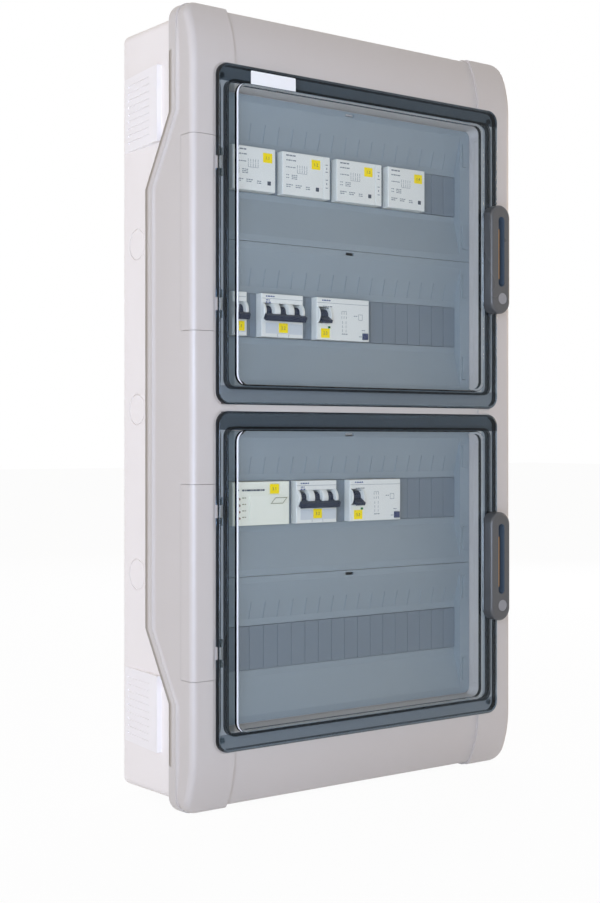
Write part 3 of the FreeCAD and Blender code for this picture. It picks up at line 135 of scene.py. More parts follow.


# smoked polycarbonate, clear and blue-grey: the pane has its tint in its depth, the flange round it has
# painted shade, darkest at the top, and the walls that stand on edge are painted near black as painted
# shade, so a door reads as a clear pane in dark lines; the round left edge of the raised pane holds one
# painted highlight, a pale line; distances are in mm
smokedDoor = {
    "ior": 1.585, "rough": 0.01, "absorb": "#55A2AF", "density": 27.0,
    "doorPitch": 345.0, "paneCentre": -3.25, "paneHalfWidth": 163.75, "paneHalfHeight": 150.5,
    # the three flange colours are painted shade, darkest at the top
    "pane": "#FFFFFF", "sideFlangeShade": "#CAD4DA", "topFlangeShade": "#5F6D78", "lowFlangeShade": "#9AA8B3",
    # wall is painted shade, the near black of the walls that stand on edge
    "wall": "#0C1722", "wallGloss": "#989CA0", "paneGloss": "#6A6C6E", "wallTurn": 0.7, "paneTurn": 0.995,
    # edge is the colour of a painted highlight, the pale line on the pane's round left edge
    "edge": "#F2F3F8", "highlightTurn": 0.34, "highlightFront": 158.8, "highlightClear": 0.25,
}


def smokedPolycarbonate():
    door = smokedDoor
    pitch, halfHeight = door["doorPitch"] * mm, door["paneHalfHeight"] * mm
    material, tree = newMaterial("smokedPolycarbonate")
    place = addNode(tree, "TexCoord")
    spot = addNode(tree, "SeparateXYZ", {}, {"Vector": place.outputs["Object"]})
    facing = addNode(tree, "SeparateXYZ", {}, {"Vector": place.outputs["Normal"]})
    # how far a spot lies above the middle of its own door, and beside the middle of the pane
    height = addNode(tree, "Math", {"operation": "FLOORED_MODULO", 1: pitch}, {0: spot.outputs["Z"]})
    height = addNode(tree, "Math", {"operation": "SUBTRACT", 1: pitch / 2}, {0: height})
    aside = addNode(tree, "Math", {"operation": "SUBTRACT", 1: door["paneCentre"] * mm},
                    {0: spot.outputs["X"]})
    aside = addNode(tree, "Math", {"operation": "ABSOLUTE"}, {0: aside})
    inSide = addNode(tree, "Math", {"operation": "GREATER_THAN", 1: door["paneHalfWidth"] * mm},
                     {0: aside})
    inTop = addNode(tree, "Math", {"operation": "GREATER_THAN", 1: halfHeight}, {0: height})
    inLow = addNode(tree, "Math", {"operation": "LESS_THAN", 1: -halfHeight}, {0: height})
    # painted shade: the flange round the pane is painted darker, most at the top, less at the bottom, least
    # at the sides
    tintAndPaintedLight = addNode(tree, "Mix", {"data_type": "RGBA", 6: linear(door["pane"]),
                                 7: linear(door["sideFlangeShade"])}, {0: inSide})
    for share, flange in ((inTop, "topFlangeShade"), (inLow, "lowFlangeShade")):
        tintAndPaintedLight = addNode(tree, "Mix", {"data_type": "RGBA", 7: linear(door[flange])},
                       {0: share, 6: tintAndPaintedLight.outputs[2]})
    flat = addNode(tree, "Math", {"operation": "ABSOLUTE"}, {0: facing.outputs["Y"]})
    flat = addNode(tree, "MapRange", {"From Min": door["wallTurn"], "From Max": door["paneTurn"]},
                   {"Value": flat})
    # painted shade: faces that stand on edge are painted near black
    tintAndPaintedLight = addNode(tree, "Mix", {"data_type": "RGBA", 6: linear(door["wall"])},
                   {0: flat, 7: tintAndPaintedLight.outputs[2]})
    shine = addNode(tree, "Mix", {"data_type": "RGBA", 6: linear(door["wallGloss"]),
                                  7: linear(door["paneGloss"])}, {0: flat})
    # painted highlight: the round left edge of the raised pane is painted pale and lets less light through
    leftward = addNode(tree, "Math", {"operation": "LESS_THAN", 1: -door["highlightTurn"]},
                       {0: facing.outputs["X"]})
    forward = addNode(tree, "Math", {"operation": "LESS_THAN", 1: -door["highlightFront"] * mm},
                      {0: spot.outputs["Y"]})
    onPaintedHighlight = addNode(tree, "Math", {"operation": "MULTIPLY"}, {0: leftward, 1: forward})
    through = addNode(tree, "MapRange", {"To Min": 1.0, "To Max": door["highlightClear"]}, {"Value": onPaintedHighlight})
    tintAndPaintedLight = addNode(tree, "Mix", {"data_type": "RGBA", 7: linear(door["edge"])},
                   {0: onPaintedHighlight, 6: tintAndPaintedLight.outputs[2]})
    glass = addNode(tree, "BsdfPrincipled", {"IOR": door["ior"], "Roughness": door["rough"]}, {
        "Transmission Weight": through, "Base Color": tintAndPaintedLight.outputs[2], "Specular Tint": shine.outputs[2]})
    # light and shadow pass straight through, so that the devices inside stay lit
    clear = addNode(tree, "BsdfTransparent", {"Color": linear("#FFFFFF")})
    path = addNode(tree, "LightPath")
    soft = addNode(tree, "Math", {"operation": "MAXIMUM"},
                   {0: path.outputs["Is Shadow Ray"], 1: path.outputs["Is Diffuse Ray"]})
    both = addNode(tree, "MixShader", {}, {0: soft, 1: glass, 2: clear})
    depth = addNode(tree, "VolumeAbsorption", {"Color": linear(door["absorb"]), "Density": door["density"]})
    addNode(tree, "OutputMaterial", {}, {"Surface": both, "Volume": depth})
    return material


# bare metals: the grain is the width of the spangle or of a drawn line in mm, stretched along the bar
metals = {
    "galvanisedSteel": {"colour": "#B9BCBE", "shade": "#A6AAAD", "shiny": 0.31, "dull": 0.44,
                        "grain": 6.0, "stretch": 1.0},
    "zincScrewSteel": {"colour": "#B5B6B7", "shade": "#9C9EA0", "shiny": 0.22, "dull": 0.35,
                       "grain": 0.6, "stretch": 1.0},
    "drawnBrass": {"colour": "#CFAE5E", "shade": "#B99849", "shiny": 0.25, "dull": 0.38,
                   "grain": 0.5, "stretch": 0.04},
}


def bareMetal(name):
    recipe = metals[name]
    material, tree = newMaterial(name)
    place = addNode(tree, "TexCoord").outputs["Object"]
    along = addNode(tree, "Mapping", {"Scale": (recipe["stretch"], 1, 1)}, {"Vector": place})
    cells = addNode(tree, "TexVoronoi", {"Scale": 1 / (recipe["grain"] * mm)}, {"Vector": along})
    polish = addNode(tree, "MapRange", {"To Min": recipe["shiny"], "To Max": recipe["dull"]},
                     {"Value": cells})
    surface = addNode(tree, "BsdfPrincipled", {"Metallic": 1.0},
                      {"Base Color": wanderingTone(tree, recipe, cells), "Roughness": polish})
    addNode(tree, "OutputMaterial", {}, {"Surface": surface})
    return material


# thin films on the plastic: vinyl labels with a calendered sheen, pad-printed ink, worn thin in specks, and
# the lacquered window of a state mark
filmBase = {"ior": 1.5, "gloss": 0.15}
films = {
    "yellowVinyl": {"colour": "#FFE40E", "shade": "#FBDD0A", "rough": 0.35, "grain": 2.5},
    "whiteVinyl": {"colour": "#F4F4F2", "shade": "#EEEEEC", "rough": 0.3, "grain": 2.5},
    "greyInk": {"colour": "#6C7074", "shade": "#95999B", "rough": 0.5, "grain": 0.5},
    "darkInk": {"colour": "#3A3F48", "shade": "#5A5F68", "rough": 0.5, "grain": 0.5},
    "navyInk": {"colour": "#3D4A70", "shade": "#66719A", "rough": 0.5, "grain": 0.5},
    "oliveInk": {"colour": "#8B8A6C", "shade": "#A7A68B", "rough": 0.5, "grain": 0.5},
    "greenLens": {"colour": "#2F7D45", "shade": "#276B3A", "rough": 0.2, "grain": 1.0},
}


def surfaceFilm(name):
    recipe = films[name]
    material, tree = newMaterial(name)
    place = addNode(tree, "TexCoord").outputs["Object"]
    wear = addNode(tree, "TexNoise", {"Scale": 1 / (recipe["grain"] * mm), "Detail": 3.0}, {"Vector": place})
    surface = addNode(tree, "BsdfPrincipled", {"Roughness": recipe["rough"], "IOR": filmBase["ior"],
                                               "Specular IOR Level": filmBase["gloss"]},
                      {"Base Color": wanderingTone(tree, recipe, wear)})
    addNode(tree, "OutputMaterial", {}, {"Surface": surface})
    return material


finishOf = {
    "lidPolystyrene": ["lid_frame", "hinge_insert", "lock_insert"],
    "tubPolystyrene": ["base_housing"],
    "platePolystyrene": ["side_plate"],
    "coverAbs": ["cover_panel", "cover_clips"],
    "stripAbs": ["blanking_strip"],
    "devicePolyamide": ["contactor", "aux_contact", "breaker", "residual_breaker"],
    "meterPolycarbonate": ["energy_meter"],
    "handlePolyamide": ["handle"],
    "capPolyamide": ["lock_cap"],
    "sealRubber": ["lid_gasket", "door_seal"],
    "lampAcrylic": ["meter_lamps"],
    "galvanisedSteel": ["din_rail", "upright"],
    "zincScrewSteel": ["lid_screws", "frame_screws", "hinge_pins"],
    "drawnBrass": ["earth_terminal_bar", "neutral_terminal_bar"],
    "smokedPolycarbonate": ["door_upper", "door_lower"],
}
finishOfEnd = {"_toggle": "togglePolyamide", "_test_button": "buttonPolyamide"}

made = {name: mouldedPlastic(name) for name in plastics}
made.update({name: bareMetal(name) for name in metals})
made.update({name: surfaceFilm(name) for name in films})
made["smokedPolycarbonate"] = smokedPolycarbonate()
for name, node in nodes.items():
    finish = next((made[key] for end, key in finishOfEnd.items() if name.endswith(end)), None)
    if not finish:
        finish = next(made[key] for key, starts in finishOf.items() if name.startswith(tuple(starts)))
    node.data.materials.clear()
    node.data.materials.append(finish)
print("materials made:", len(made))


def deselect():
    if bpy.context.object and bpy.context.object.mode != "OBJECT":
        bpy.ops.object.mode_set(mode="OBJECT")
    bpy.ops.object.select_all(action="DESELECT")


squareOn = 0.9  # a face whose normal lies this far along Y looks to the front or the back


# picks the faces that pass the test and goes on in edit mode
def pickFaces(piece, test):
    bpy.ops.object.mode_set(mode="EDIT")
    bpy.ops.mesh.select_mode(type="FACE")
    bpy.ops.mesh.select_all(action="DESELECT")
    bpy.ops.object.mode_set(mode="OBJECT")
    for face in piece.data.polygons:
        face.select = test(face)
    bpy.ops.object.mode_set(mode="EDIT")


# turns all faces outwards and leaves edit mode
def closeMesh():
    bpy.ops.mesh.select_all(action="SELECT")
    bpy.ops.mesh.normals_make_consistent(inside=False)
    bpy.ops.object.mode_set(mode="OBJECT")


# the point that lies x and z mm beside another, and forward mm in front of it
def beside(point, x, z, forward=0.0):
    return point + Vector((x, -forward, z)) * mm


cornerSteps = 4


# a flat panel that faces the front, with its corners cut round and then pulled forward; sizes are in mm
def facePlate(name, place, size, thick, corner=0.0):
    deselect()
    bpy.ops.mesh.primitive_plane_add(size=1, location=place, rotation=(math.radians(90), 0, 0))
    piece = bpy.context.object
    piece.name = name
    piece.scale = (size[0] * mm, size[1] * mm, 1)
    bpy.ops.object.transform_apply()
    bpy.ops.object.mode_set(mode="EDIT")
    bpy.ops.mesh.select_all(action="SELECT")
    if corner:
        bpy.ops.mesh.bevel(offset=corner * mm, affect="VERTICES", segments=cornerSteps)
    bpy.ops.mesh.select_all(action="SELECT")
    bpy.ops.mesh.extrude_region_move(TRANSFORM_OT_translate={"value": (0, -thick * mm, 0)})
    closeMesh()
    return piece


def joined(name, pieces):
    deselect()
    for piece in pieces:
        piece.select_set(True)
    bpy.context.view_layer.objects.active = pieces[0]
    if len(pieces) > 1:
        bpy.ops.object.join()
    pieces[0].name = name
    pieces[0].data.name = name
    return pieces[0]


def seat(piece, finish, body="enclosure"):
    if finish:
        piece.data.materials.clear()
        piece.data.materials.append(made[finish])
    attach(piece, body)


# the copy has its own mesh, moved in the mesh, so that its object stays at the origin
def copied(source, name, shift):
    twin = source.copy()
    twin.data = source.data.copy()
    twin.name = twin.data.name = name
    bpy.context.scene.collection.objects.link(twin)
    twin.parent = None
    twin.data.transform(Matrix.Translation(shift))
    seat(twin, None)


# the middle of a device's front face, which looks out of the cover's window
def frontMiddle(name):
    low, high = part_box(name)
    return Vector(((low.x + high.x) / 2, low.y, (low.z + high.z) / 2))


def deviceWidth(name):
    low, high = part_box(name)
    return (high.x - low.x) / mm


deviceInk = {"thick": 0.04, "wordGap": 0.6}  # mm


# print on a device: each mark is (x, z, width, height) in mm from the point
def printedMarks(name, point, marks, finish):
    bars = [facePlate(name, beside(point, x, z), (width, height), deviceInk["thick"])
            for x, z, width, height in marks]
    piece = joined(name, bars)
    seat(piece, finish)
    return piece


# a line of small print, with a bar of its own width for each word; the first one starts at x
def smallPrint(x, z, height, words):
    marks = []
    for word in words:
        marks.append((x + word / 2, z, word, height))
        x += word + deviceInk["wordGap"]
    return marks


def printedLines(lines):
    return [mark for line in lines for mark in smallPrint(*line)]


deviceLabel = {"size": (11.3, 10.0), "thick": 0.12, "corner": 0.4, "textSize": 4.6, "textDrop": 1.6,
               "textRise": 0.03, "textSteps": 3}


def numberedLabel(name, place, text):
    label = facePlate(name, place, deviceLabel["size"], deviceLabel["thick"], deviceLabel["corner"])
    label.data.materials.append(made["yellowVinyl"])
    deselect()
    spot = beside(place, 0, -deviceLabel["textDrop"], deviceLabel["thick"] + deviceLabel["textRise"])
    bpy.ops.object.text_add(location=spot, rotation=(math.radians(90), 0, 0))
    number = bpy.context.object
    number.data.body = text
    number.data.size = deviceLabel["textSize"] * mm
    number.data.align_x = "CENTER"
    number.data.resolution_u = deviceLabel["textSteps"]
    bpy.ops.object.convert(target="MESH")
    bpy.ops.object.transform_apply()
    number.data.materials.clear()
    number.data.materials.append(made["darkInk"])
    seat(joined(name, [label, number]), None)


contactorFace = {
    "label": (16.5, 12.7), "eye": (18.4, -13.4), "eyeSize": (4.2, 4.2), "eyeThick": 0.15, "eyeCorner": 0.5,
    # each line of print is (x, z, height, widths of its words)
    "lines": [
        (-21.5, 18.9, 1.5, [3.4, 4.1, 3.2]), (-21.5, 13.9, 1.2, [2.0, 3.2, 1.4, 4.0]),
        (-21.5, 6.6, 0.9, [1.3, 3.0, 2.1, 3.6]), (-21.5, -1.6, 0.9, [1.2, 1.8]),
        (-21.5, -4.6, 0.9, [1.2, 1.8]), (-14.6, -1.6, 0.9, [2.4, 1.4, 2.2]),
        (-14.6, -3.4, 0.9, [1.6, 2.8, 1.3]), (-14.6, -5.2, 0.9, [2.2, 1.0, 2.6]),
        (-21.5, -11.8, 1.0, [2.1, 3.4, 1.6]), (-21.5, -13.8, 1.0, [3.0, 1.8]),
        (-9.5, -11.8, 1.0, [1.8, 2.6, 2.2]), (-9.5, -13.8, 1.0, [2.6, 3.0]),
        (3.5, -12.4, 1.0, [2.4, 1.9]), (3.5, -14.4, 1.0, [1.4, 3.2]),
    ],
    # the wiring diagram: five contacts, each with two leads and a bar, over one coil line
    "contacts": (-7.2, -4.2, -1.2, 1.8, 4.8), "leads": (8.2, 3.2), "leadSize": (0.5, 3.0),
    "barHeight": 5.7, "barSize": (1.1, 0.5), "coilLine": (-1.2, 1.2, 13.0, 0.35),
}


def dressContactors(names):
    face = contactorFace
    marks = printedLines(face["lines"]) + [face["coilLine"]]
    marks += [(x, z, *face["leadSize"]) for x in face["contacts"] for z in face["leads"]]
    marks += [(x, face["barHeight"], *face["barSize"]) for x in face["contacts"]]
    first = frontMiddle(names[0])
    ink = printedMarks(names[0] + "_print", first, marks, "greyInk")
    eye = facePlate(names[0] + "_indicator", beside(first, *face["eye"]), face["eyeSize"], face["eyeThick"],
                    face["eyeCorner"])
    seat(eye, "darkInk")
    for number, name in enumerate(names, start=1):
        middle = frontMiddle(name)
        if number > 1:
            copied(ink, name + "_print", middle - first)
            copied(eye, name + "_indicator", middle - first)
        numberedLabel(name + "_label", beside(middle, *face["label"]), "1." + str(number))


dressContactors(["contactor_1", "contactor_2", "contactor_3", "contactor_4"])

auxFace = {"words": (14.0, 6.5, -2.0, -10.5), "wordSize": (3.0, 0.8), "slots": (10.2, -6.2),
           "slotSize": (1.0, 2.2)}
auxMarks = [(0, z, *auxFace["wordSize"]) for z in auxFace["words"]]
auxMarks += [(0, z, *auxFace["slotSize"]) for z in auxFace["slots"]]
auxMiddle = frontMiddle("aux_contact_2")
auxPrint = printedMarks("aux_contact_2_print", auxMiddle, auxMarks, "greyInk")
copied(auxPrint, "aux_contact_3_print", frontMiddle("aux_contact_3") - auxMiddle)
print("contactor faces done")

# round cheeks stand beside each lever, so that only the front of the drum can be reached
cheek = {"radius": 11.0, "axisDepth": 114.0, "axisRaise": 4.0, "edge": 0.8, "root": 0.3, "sides": 64,
         "edgeSteps": 3, "sharpTurn": 60, "smoothTurn": 35}


# the places are (x in metres, width in mm)
def leverCheeks(name, places, middle):
    discs = []
    for x, width in places:
        deselect()
        centre = (x, -cheek["axisDepth"] * mm, middle.z + cheek["axisRaise"] * mm)
        bpy.ops.mesh.primitive_cylinder_add(vertices=cheek["sides"], radius=cheek["radius"] * mm,
                                            depth=width * mm, location=centre,
                                            rotation=(0, math.radians(90), 0))
        disc = bpy.context.object
        bpy.ops.object.transform_apply()
        bpy.ops.object.mode_set(mode="EDIT")
        bpy.ops.mesh.select_mode(type="EDGE")
        bpy.ops.mesh.select_all(action="DESELECT")
        bpy.ops.mesh.edges_select_sharp(sharpness=math.radians(cheek["sharpTurn"]))
        bpy.ops.mesh.bevel(offset=cheek["edge"] * mm, segments=cheek["edgeSteps"])
        bpy.ops.mesh.select_all(action="SELECT")
        # what lies behind the device's front is cut away, apart from a short root
        bpy.ops.mesh.bisect(plane_co=(x, middle.y + cheek["root"] * mm, middle.z), plane_no=(0, 1, 0),
                            use_fill=True, clear_outer=True)
        closeMesh()
        bpy.ops.object.shade_smooth_by_angle(angle=math.radians(cheek["smoothTurn"]))
        discs.append(disc)
    seat(joined(name, discs), "devicePolyamide")


# the card's left margin is for each pole
breakerFace = {
    "module": 17.5, "drum": 8.4, "drumRoom": 0.7, "sideRoom": 0.3, "sideInset": 0.25,
    "cardTop": -8.0, "cardBottom": -18.8, "cardLeft": 5.2 / 3, "cardRight": 1.0, "cardThick": 0.3,
    "cardCorner": 0.8, "seam": 17.4, "seamInset": 1.2, "seamHeight": 0.35,
    "ticks": [(-6.0, -20.6, 0.4, 3.2), (8.0, -20.6, 0.4, 3.2)],
    # each line of print is (z, height, how many words it has beyond the number of poles, their widths)
    "lines": [(19.7, 1.4, 1, [1.8, 2.9, 2.4, 1.8]), (15.8, 1.1, 0, [3.2, 1.2]),
              (13.4, 1.6, 0, [1.9, 0.6, 2.2])],
    "lineLeft": 5.5, "slimLineLeft": 2.5, "labelAside": 1.0, "labelDrop": 12.6,
}


def dressBreaker(name, poles, text):
    face = breakerFace
    middle = frontMiddle(name)
    width = deviceWidth(name)
    half = width / 2
    slim = poles == 1
    gap = face["module"] - face["drum"] - 2 * face["drumRoom"]
    places = [(middle.x + (pole - poles / 2) * face["module"] * mm, gap) for pole in range(1, poles)]
    side = gap / 2 - face["sideRoom"]
    places += [(middle.x + sign * (half - side / 2 - face["sideInset"]) * mm, side) for sign in (-1, 1)]
    leverCheeks(name + "_cheeks", places, middle)
    low = -half + face["cardLeft"] * poles
    high = half - face["cardRight"]
    cardMiddle = beside(middle, (low + high) / 2, (face["cardTop"] + face["cardBottom"]) / 2)
    card = facePlate(name + "_card", cardMiddle, (high - low, face["cardTop"] - face["cardBottom"]),
                     face["cardThick"], face["cardCorner"])
    seat(card, "panelPolyamide")
    seams = [(0, face["seam"], width - face["seamInset"], face["seamHeight"])]
    if not slim:
        seams += face["ticks"]
    printedMarks(name + "_lines", middle, seams, "greyInk")
    left = (face["slimLineLeft"] if slim else face["lineLeft"]) - half
    lines = [(left, z, height, words[:poles + extra]) for z, height, extra, words in face["lines"]]
    printedMarks(name + "_print", middle, printedLines(lines), "navyInk")
    aside = 0 if slim else face["labelAside"]
    numberedLabel(name + "_label", beside(middle, aside, -face["labelDrop"], face["cardThick"]), text)


dressBreaker("breaker_1_pole", 1, "2.1")
dressBreaker("breaker_3_pole_a", 3, "2.2")
dressBreaker("breaker_3_pole_b", 3, "3.2")
print("breaker faces done")

# x is measured from the left edge of the device, z from its middle
residualFace = {
    "leverX": 9.0, "leverWidth": 12.0, "leverRoom": 0.6, "cheekWidth": 1.8,
    "card": (11.0, -14.0), "cardSize": (15.0, 15.6), "cardThick": 0.25, "cardCorner": 0.8,
    "window": (16.0, -9.0), "windowSize": (3.2, 2.4), "windowThick": 0.2, "windowCorner": 0.4,
    "label": (11.0, -15.4), "seam": 17.0, "seamInset": 1.2, "seamHeight": 0.35,
    "lines": [(8.0, 13.2, 0.9, [2.2, 3.1, 1.6, 3.4]), (8.0, 11.0, 0.9, [1.4, 2.2, 2.8]),
              (33.0, -15.4, 1.0, [2.4, 1.6, 2.2]), (49.0, 4.6, 0.8, [2.4, 1.6]),
              (60.0, -10.4, 0.9, [2.2, 1.4]), (56.4, -17.4, 1.0, [1.6, 1.2])],
    # the wiring diagram: a bar over three leads, two leads below them, and a frame round the test button
    "upperLeads": [(x, z, 0.5, 2.6) for x in (33.0, 36.0, 39.0) for z in (7.0, 2.4)],
    "lowerLeads": [(x, z, 0.5, 2.8) for x in (34.0, 38.6) for z in (-3.0, -7.4, -11.8)],
    "bars": [(36.0, 9.0, 6.6, 0.4), (58.0, 6.4, 5.4, 0.4), (58.0, 0.6, 5.4, 0.4), (55.4, 3.5, 0.4, 5.8),
             (60.6, 3.5, 0.4, 5.8)],
    "rating": (7.0, 19.6, 1.4, [1.8, 2.9, 2.4, 2.0]), "ratingDot": (2.6, 3.0, 1.0, 1.0),
}


def dressResidualBreaker(name, text):
    face = residualFace
    middle = frontMiddle(name)
    width = deviceWidth(name)
    left = beside(middle, -width / 2, 0)
    reach = (face["leverWidth"] / 2 + face["leverRoom"] + face["cheekWidth"] / 2) * mm
    leverX = left.x + face["leverX"] * mm
    places = [(leverX + sign * reach, face["cheekWidth"]) for sign in (-1, 1)]
    leverCheeks(name + "_cheeks", places, middle)
    card = facePlate(name + "_card", beside(left, *face["card"]), face["cardSize"], face["cardThick"],
                     face["cardCorner"])
    seat(card, "meterPolycarbonate")
    window = facePlate(name + "_state_window", beside(left, *face["window"], face["cardThick"]),
                       face["windowSize"], face["windowThick"], face["windowCorner"])
    seat(window, "greenLens")
    seam = (0, face["seam"], width - face["seamInset"], face["seamHeight"])
    printedMarks(name + "_lines", middle, [seam], "greyInk")
    marks = printedLines(face["lines"]) + face["upperLeads"] + face["lowerLeads"] + face["bars"]
    printedMarks(name + "_print", left, marks, "greyInk")
    printedMarks(name + "_rating", left, printedLines([face["rating"]]) + [face["ratingDot"]], "navyInk")
    numberedLabel(name + "_label", beside(left, *face["label"], face["cardThick"]), text)


dressResidualBreaker("residual_breaker_a", "2.3")
dressResidualBreaker("residual_breaker_b", "3.3")
print("residual breaker faces done")

meterFace = {
    "label": (15.5, 14.8),
    "title": (-24.0, 13.8, 1.7, [2.6, 1.4, 5.2, 2.0, 3.0, 4.4, 1.6, 2.8]),
    "lampLeft": -24.0, "lampHeights": (6.1, -0.5, -7.1, -13.7), "lampPrintHeight": 1.0,
    "lampWords": [2.4, 1.6],
    "sign": (20.5, 2.6), "signSize": (15.0, 6.6), "signThick": 0.25, "signLean": 6.0, "signStroke": 0.7,
    "panelRise": 1.2,
}
middle = frontMiddle("energy_meter")
printedMarks("energy_meter_title", middle, printedLines([meterFace["title"]]), "darkInk")
lampLines = [(meterFace["lampLeft"], z, meterFace["lampPrintHeight"], meterFace["lampWords"])
             for z in meterFace["lampHeights"]]
printedMarks("energy_meter_print", middle, printedLines(lampLines), "oliveInk")
numberedLabel("energy_meter_label", beside(middle, *meterFace["label"]), "3.1")
# the slanted frame moulded on the raised panel: a plate, hollowed by an inset, then leant to the right
signMiddle = beside(middle, *meterFace["sign"], meterFace["panelRise"])
sign = facePlate("energy_meter_sign", signMiddle, meterFace["signSize"], meterFace["signThick"])
pickFaces(sign, lambda face: abs(face.normal.y) > squareOn)
bpy.ops.mesh.inset(thickness=meterFace["signStroke"] * mm)
bpy.ops.mesh.delete(type="FACE")
bpy.ops.mesh.select_mode(type="EDGE")
bpy.ops.mesh.select_all(action="DESELECT")
bpy.ops.mesh.select_non_manifold()
bpy.ops.mesh.bridge_edge_loops()
closeMesh()
for point in sign.data.vertices:
    rise = (point.co.z - signMiddle.z) / (meterFace["signSize"][1] * mm)
    point.co.x += rise * meterFace["signLean"] * mm
seat(sign, "oliveInk")
print("meter face done")

# the name label in the top corner of the upper door is bare white vinyl
nameLabel = {"middle": (-121.0, 330.0), "front": 155.5, "size": (54.0, 14.0), "thick": 0.2, "corner": 1.2}
plainLabel = facePlate("door_name_label", beside(Vector(), *nameLabel["middle"], nameLabel["front"]),
                       nameLabel["size"], nameLabel["thick"], nameLabel["corner"])
seat(plainLabel, "whiteVinyl", "door_upper")


def handleMiddle(word):
    low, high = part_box("handle_" + word)
    return Vector((0, low.y, (low.z + high.z) / 2))


# a slate blue sleeve lines each handle's slot, painted shade for the dark of the deep slot: a deep plate,
# opened at the front and given a thin wall
slotSleeve = {"x": 175.0, "shift": 8.5, "size": (8.9, 78.9), "corner": 4.44, "floor": 161.05, "lip": 171.7,
              "wall": 0.25}
for word in ("upper", "lower"):
    spot = handleMiddle(word)
    spot.y = -slotSleeve["floor"] * mm
    sleeve = facePlate("handle_" + word + "_sleeve", beside(spot, slotSleeve["x"], slotSleeve["shift"]),
                       slotSleeve["size"], slotSleeve["lip"] - slotSleeve["floor"], slotSleeve["corner"])
    pickFaces(sleeve, lambda face: face.normal.y < -squareOn)
    bpy.ops.mesh.delete(type="FACE")
    bpy.ops.object.mode_set(mode="OBJECT")
    wall = sleeve.modifiers.new("wall", "SOLIDIFY")
    wall.thickness = slotSleeve["wall"] * mm
    wall.offset = -1
    bpy.ops.object.modifier_apply(modifier="wall")
    seat(sleeve, "slotShadeAcrylic", "handle_" + word)

# an amber bead lies along the left lip of each handle's slot, a painted reflection of warm light on the
# glossy lip
slotReflectionBead = {"x": 171.2, "shift": 5.5, "size": (0.9, 56.0), "corner": 0.4, "sink": 0.2, "rise": 0.35}
for word in ("upper", "lower"):
    root = beside(handleMiddle(word), slotReflectionBead["x"], slotReflectionBead["shift"], -slotReflectionBead["sink"] - slotReflectionBead["rise"])
    bead = facePlate("handle_" + word + "_bead", root, slotReflectionBead["size"], slotReflectionBead["rise"], slotReflectionBead["corner"])
    seat(bead, "amberReflectionAcrylic", "handle_" + word)
print("labels and beads done")

# the skirt's rounded bead swells over the flat band that the lid has along its rim, in mm and degrees
skirtBead = {
    # the bead fades in between the first two heights, its edge slopes between the next two, and the
    # same again above the middle
    "runs": (-388.0, -356.0, -296.0, -225.0, 225.0, 296.0, 356.0, 388.0), "step": 6.0, "samples": 14,
    "middleEdge": 61.0, "endEdge": 107.0, "bandWidth": 13.0, "bandRise": 1.2, "root": 0.5, "rayStart": 300.0,
    "start": 0.3, "crest": 6.5, "foot": 20.0, "rim": 1.22, "swell": 1.3, "backTilt": 78.0, "frontTilt": 42.0,
}


def skirtBeadHeight(inward):
    bead = skirtBead
    if inward < bead["crest"]:
        share = (bead["crest"] - inward) / (bead["crest"] - bead["start"])
        return bead["rim"] + (bead["swell"] - bead["rim"]) * math.sqrt(max(0.0, 1 - share * share))
    share = (inward - bead["crest"]) / (bead["foot"] - bead["crest"])
    return bead["swell"] * (1 + math.cos(math.pi * share)) / 2


# the normals lean back at the rim and forward inside the crest, so that the low bead shades as a round one
def skirtBeadTilt(inward):
    bead = skirtBead
    if inward < bead["crest"]:
        return -bead["backTilt"] * (bead["crest"] - inward) / (bead["crest"] - bead["start"])
    return bead["frontTilt"] * math.sin(math.pi * (inward - bead["crest"]) / (bead["foot"] - bead["crest"]))


# how deep the skirt's edge lies: level in the middle, a slope, and level again at the ends
def skirtEdge(height):
    _, _, slopeEnd, slopeStart = skirtBead["runs"][:4]
    share = min(1.0, max(0.0, (abs(height) + slopeStart) / (slopeStart - slopeEnd)))
    return skirtBead["middleEdge"] + (skirtBead["endEdge"] - skirtBead["middleEdge"]) * share


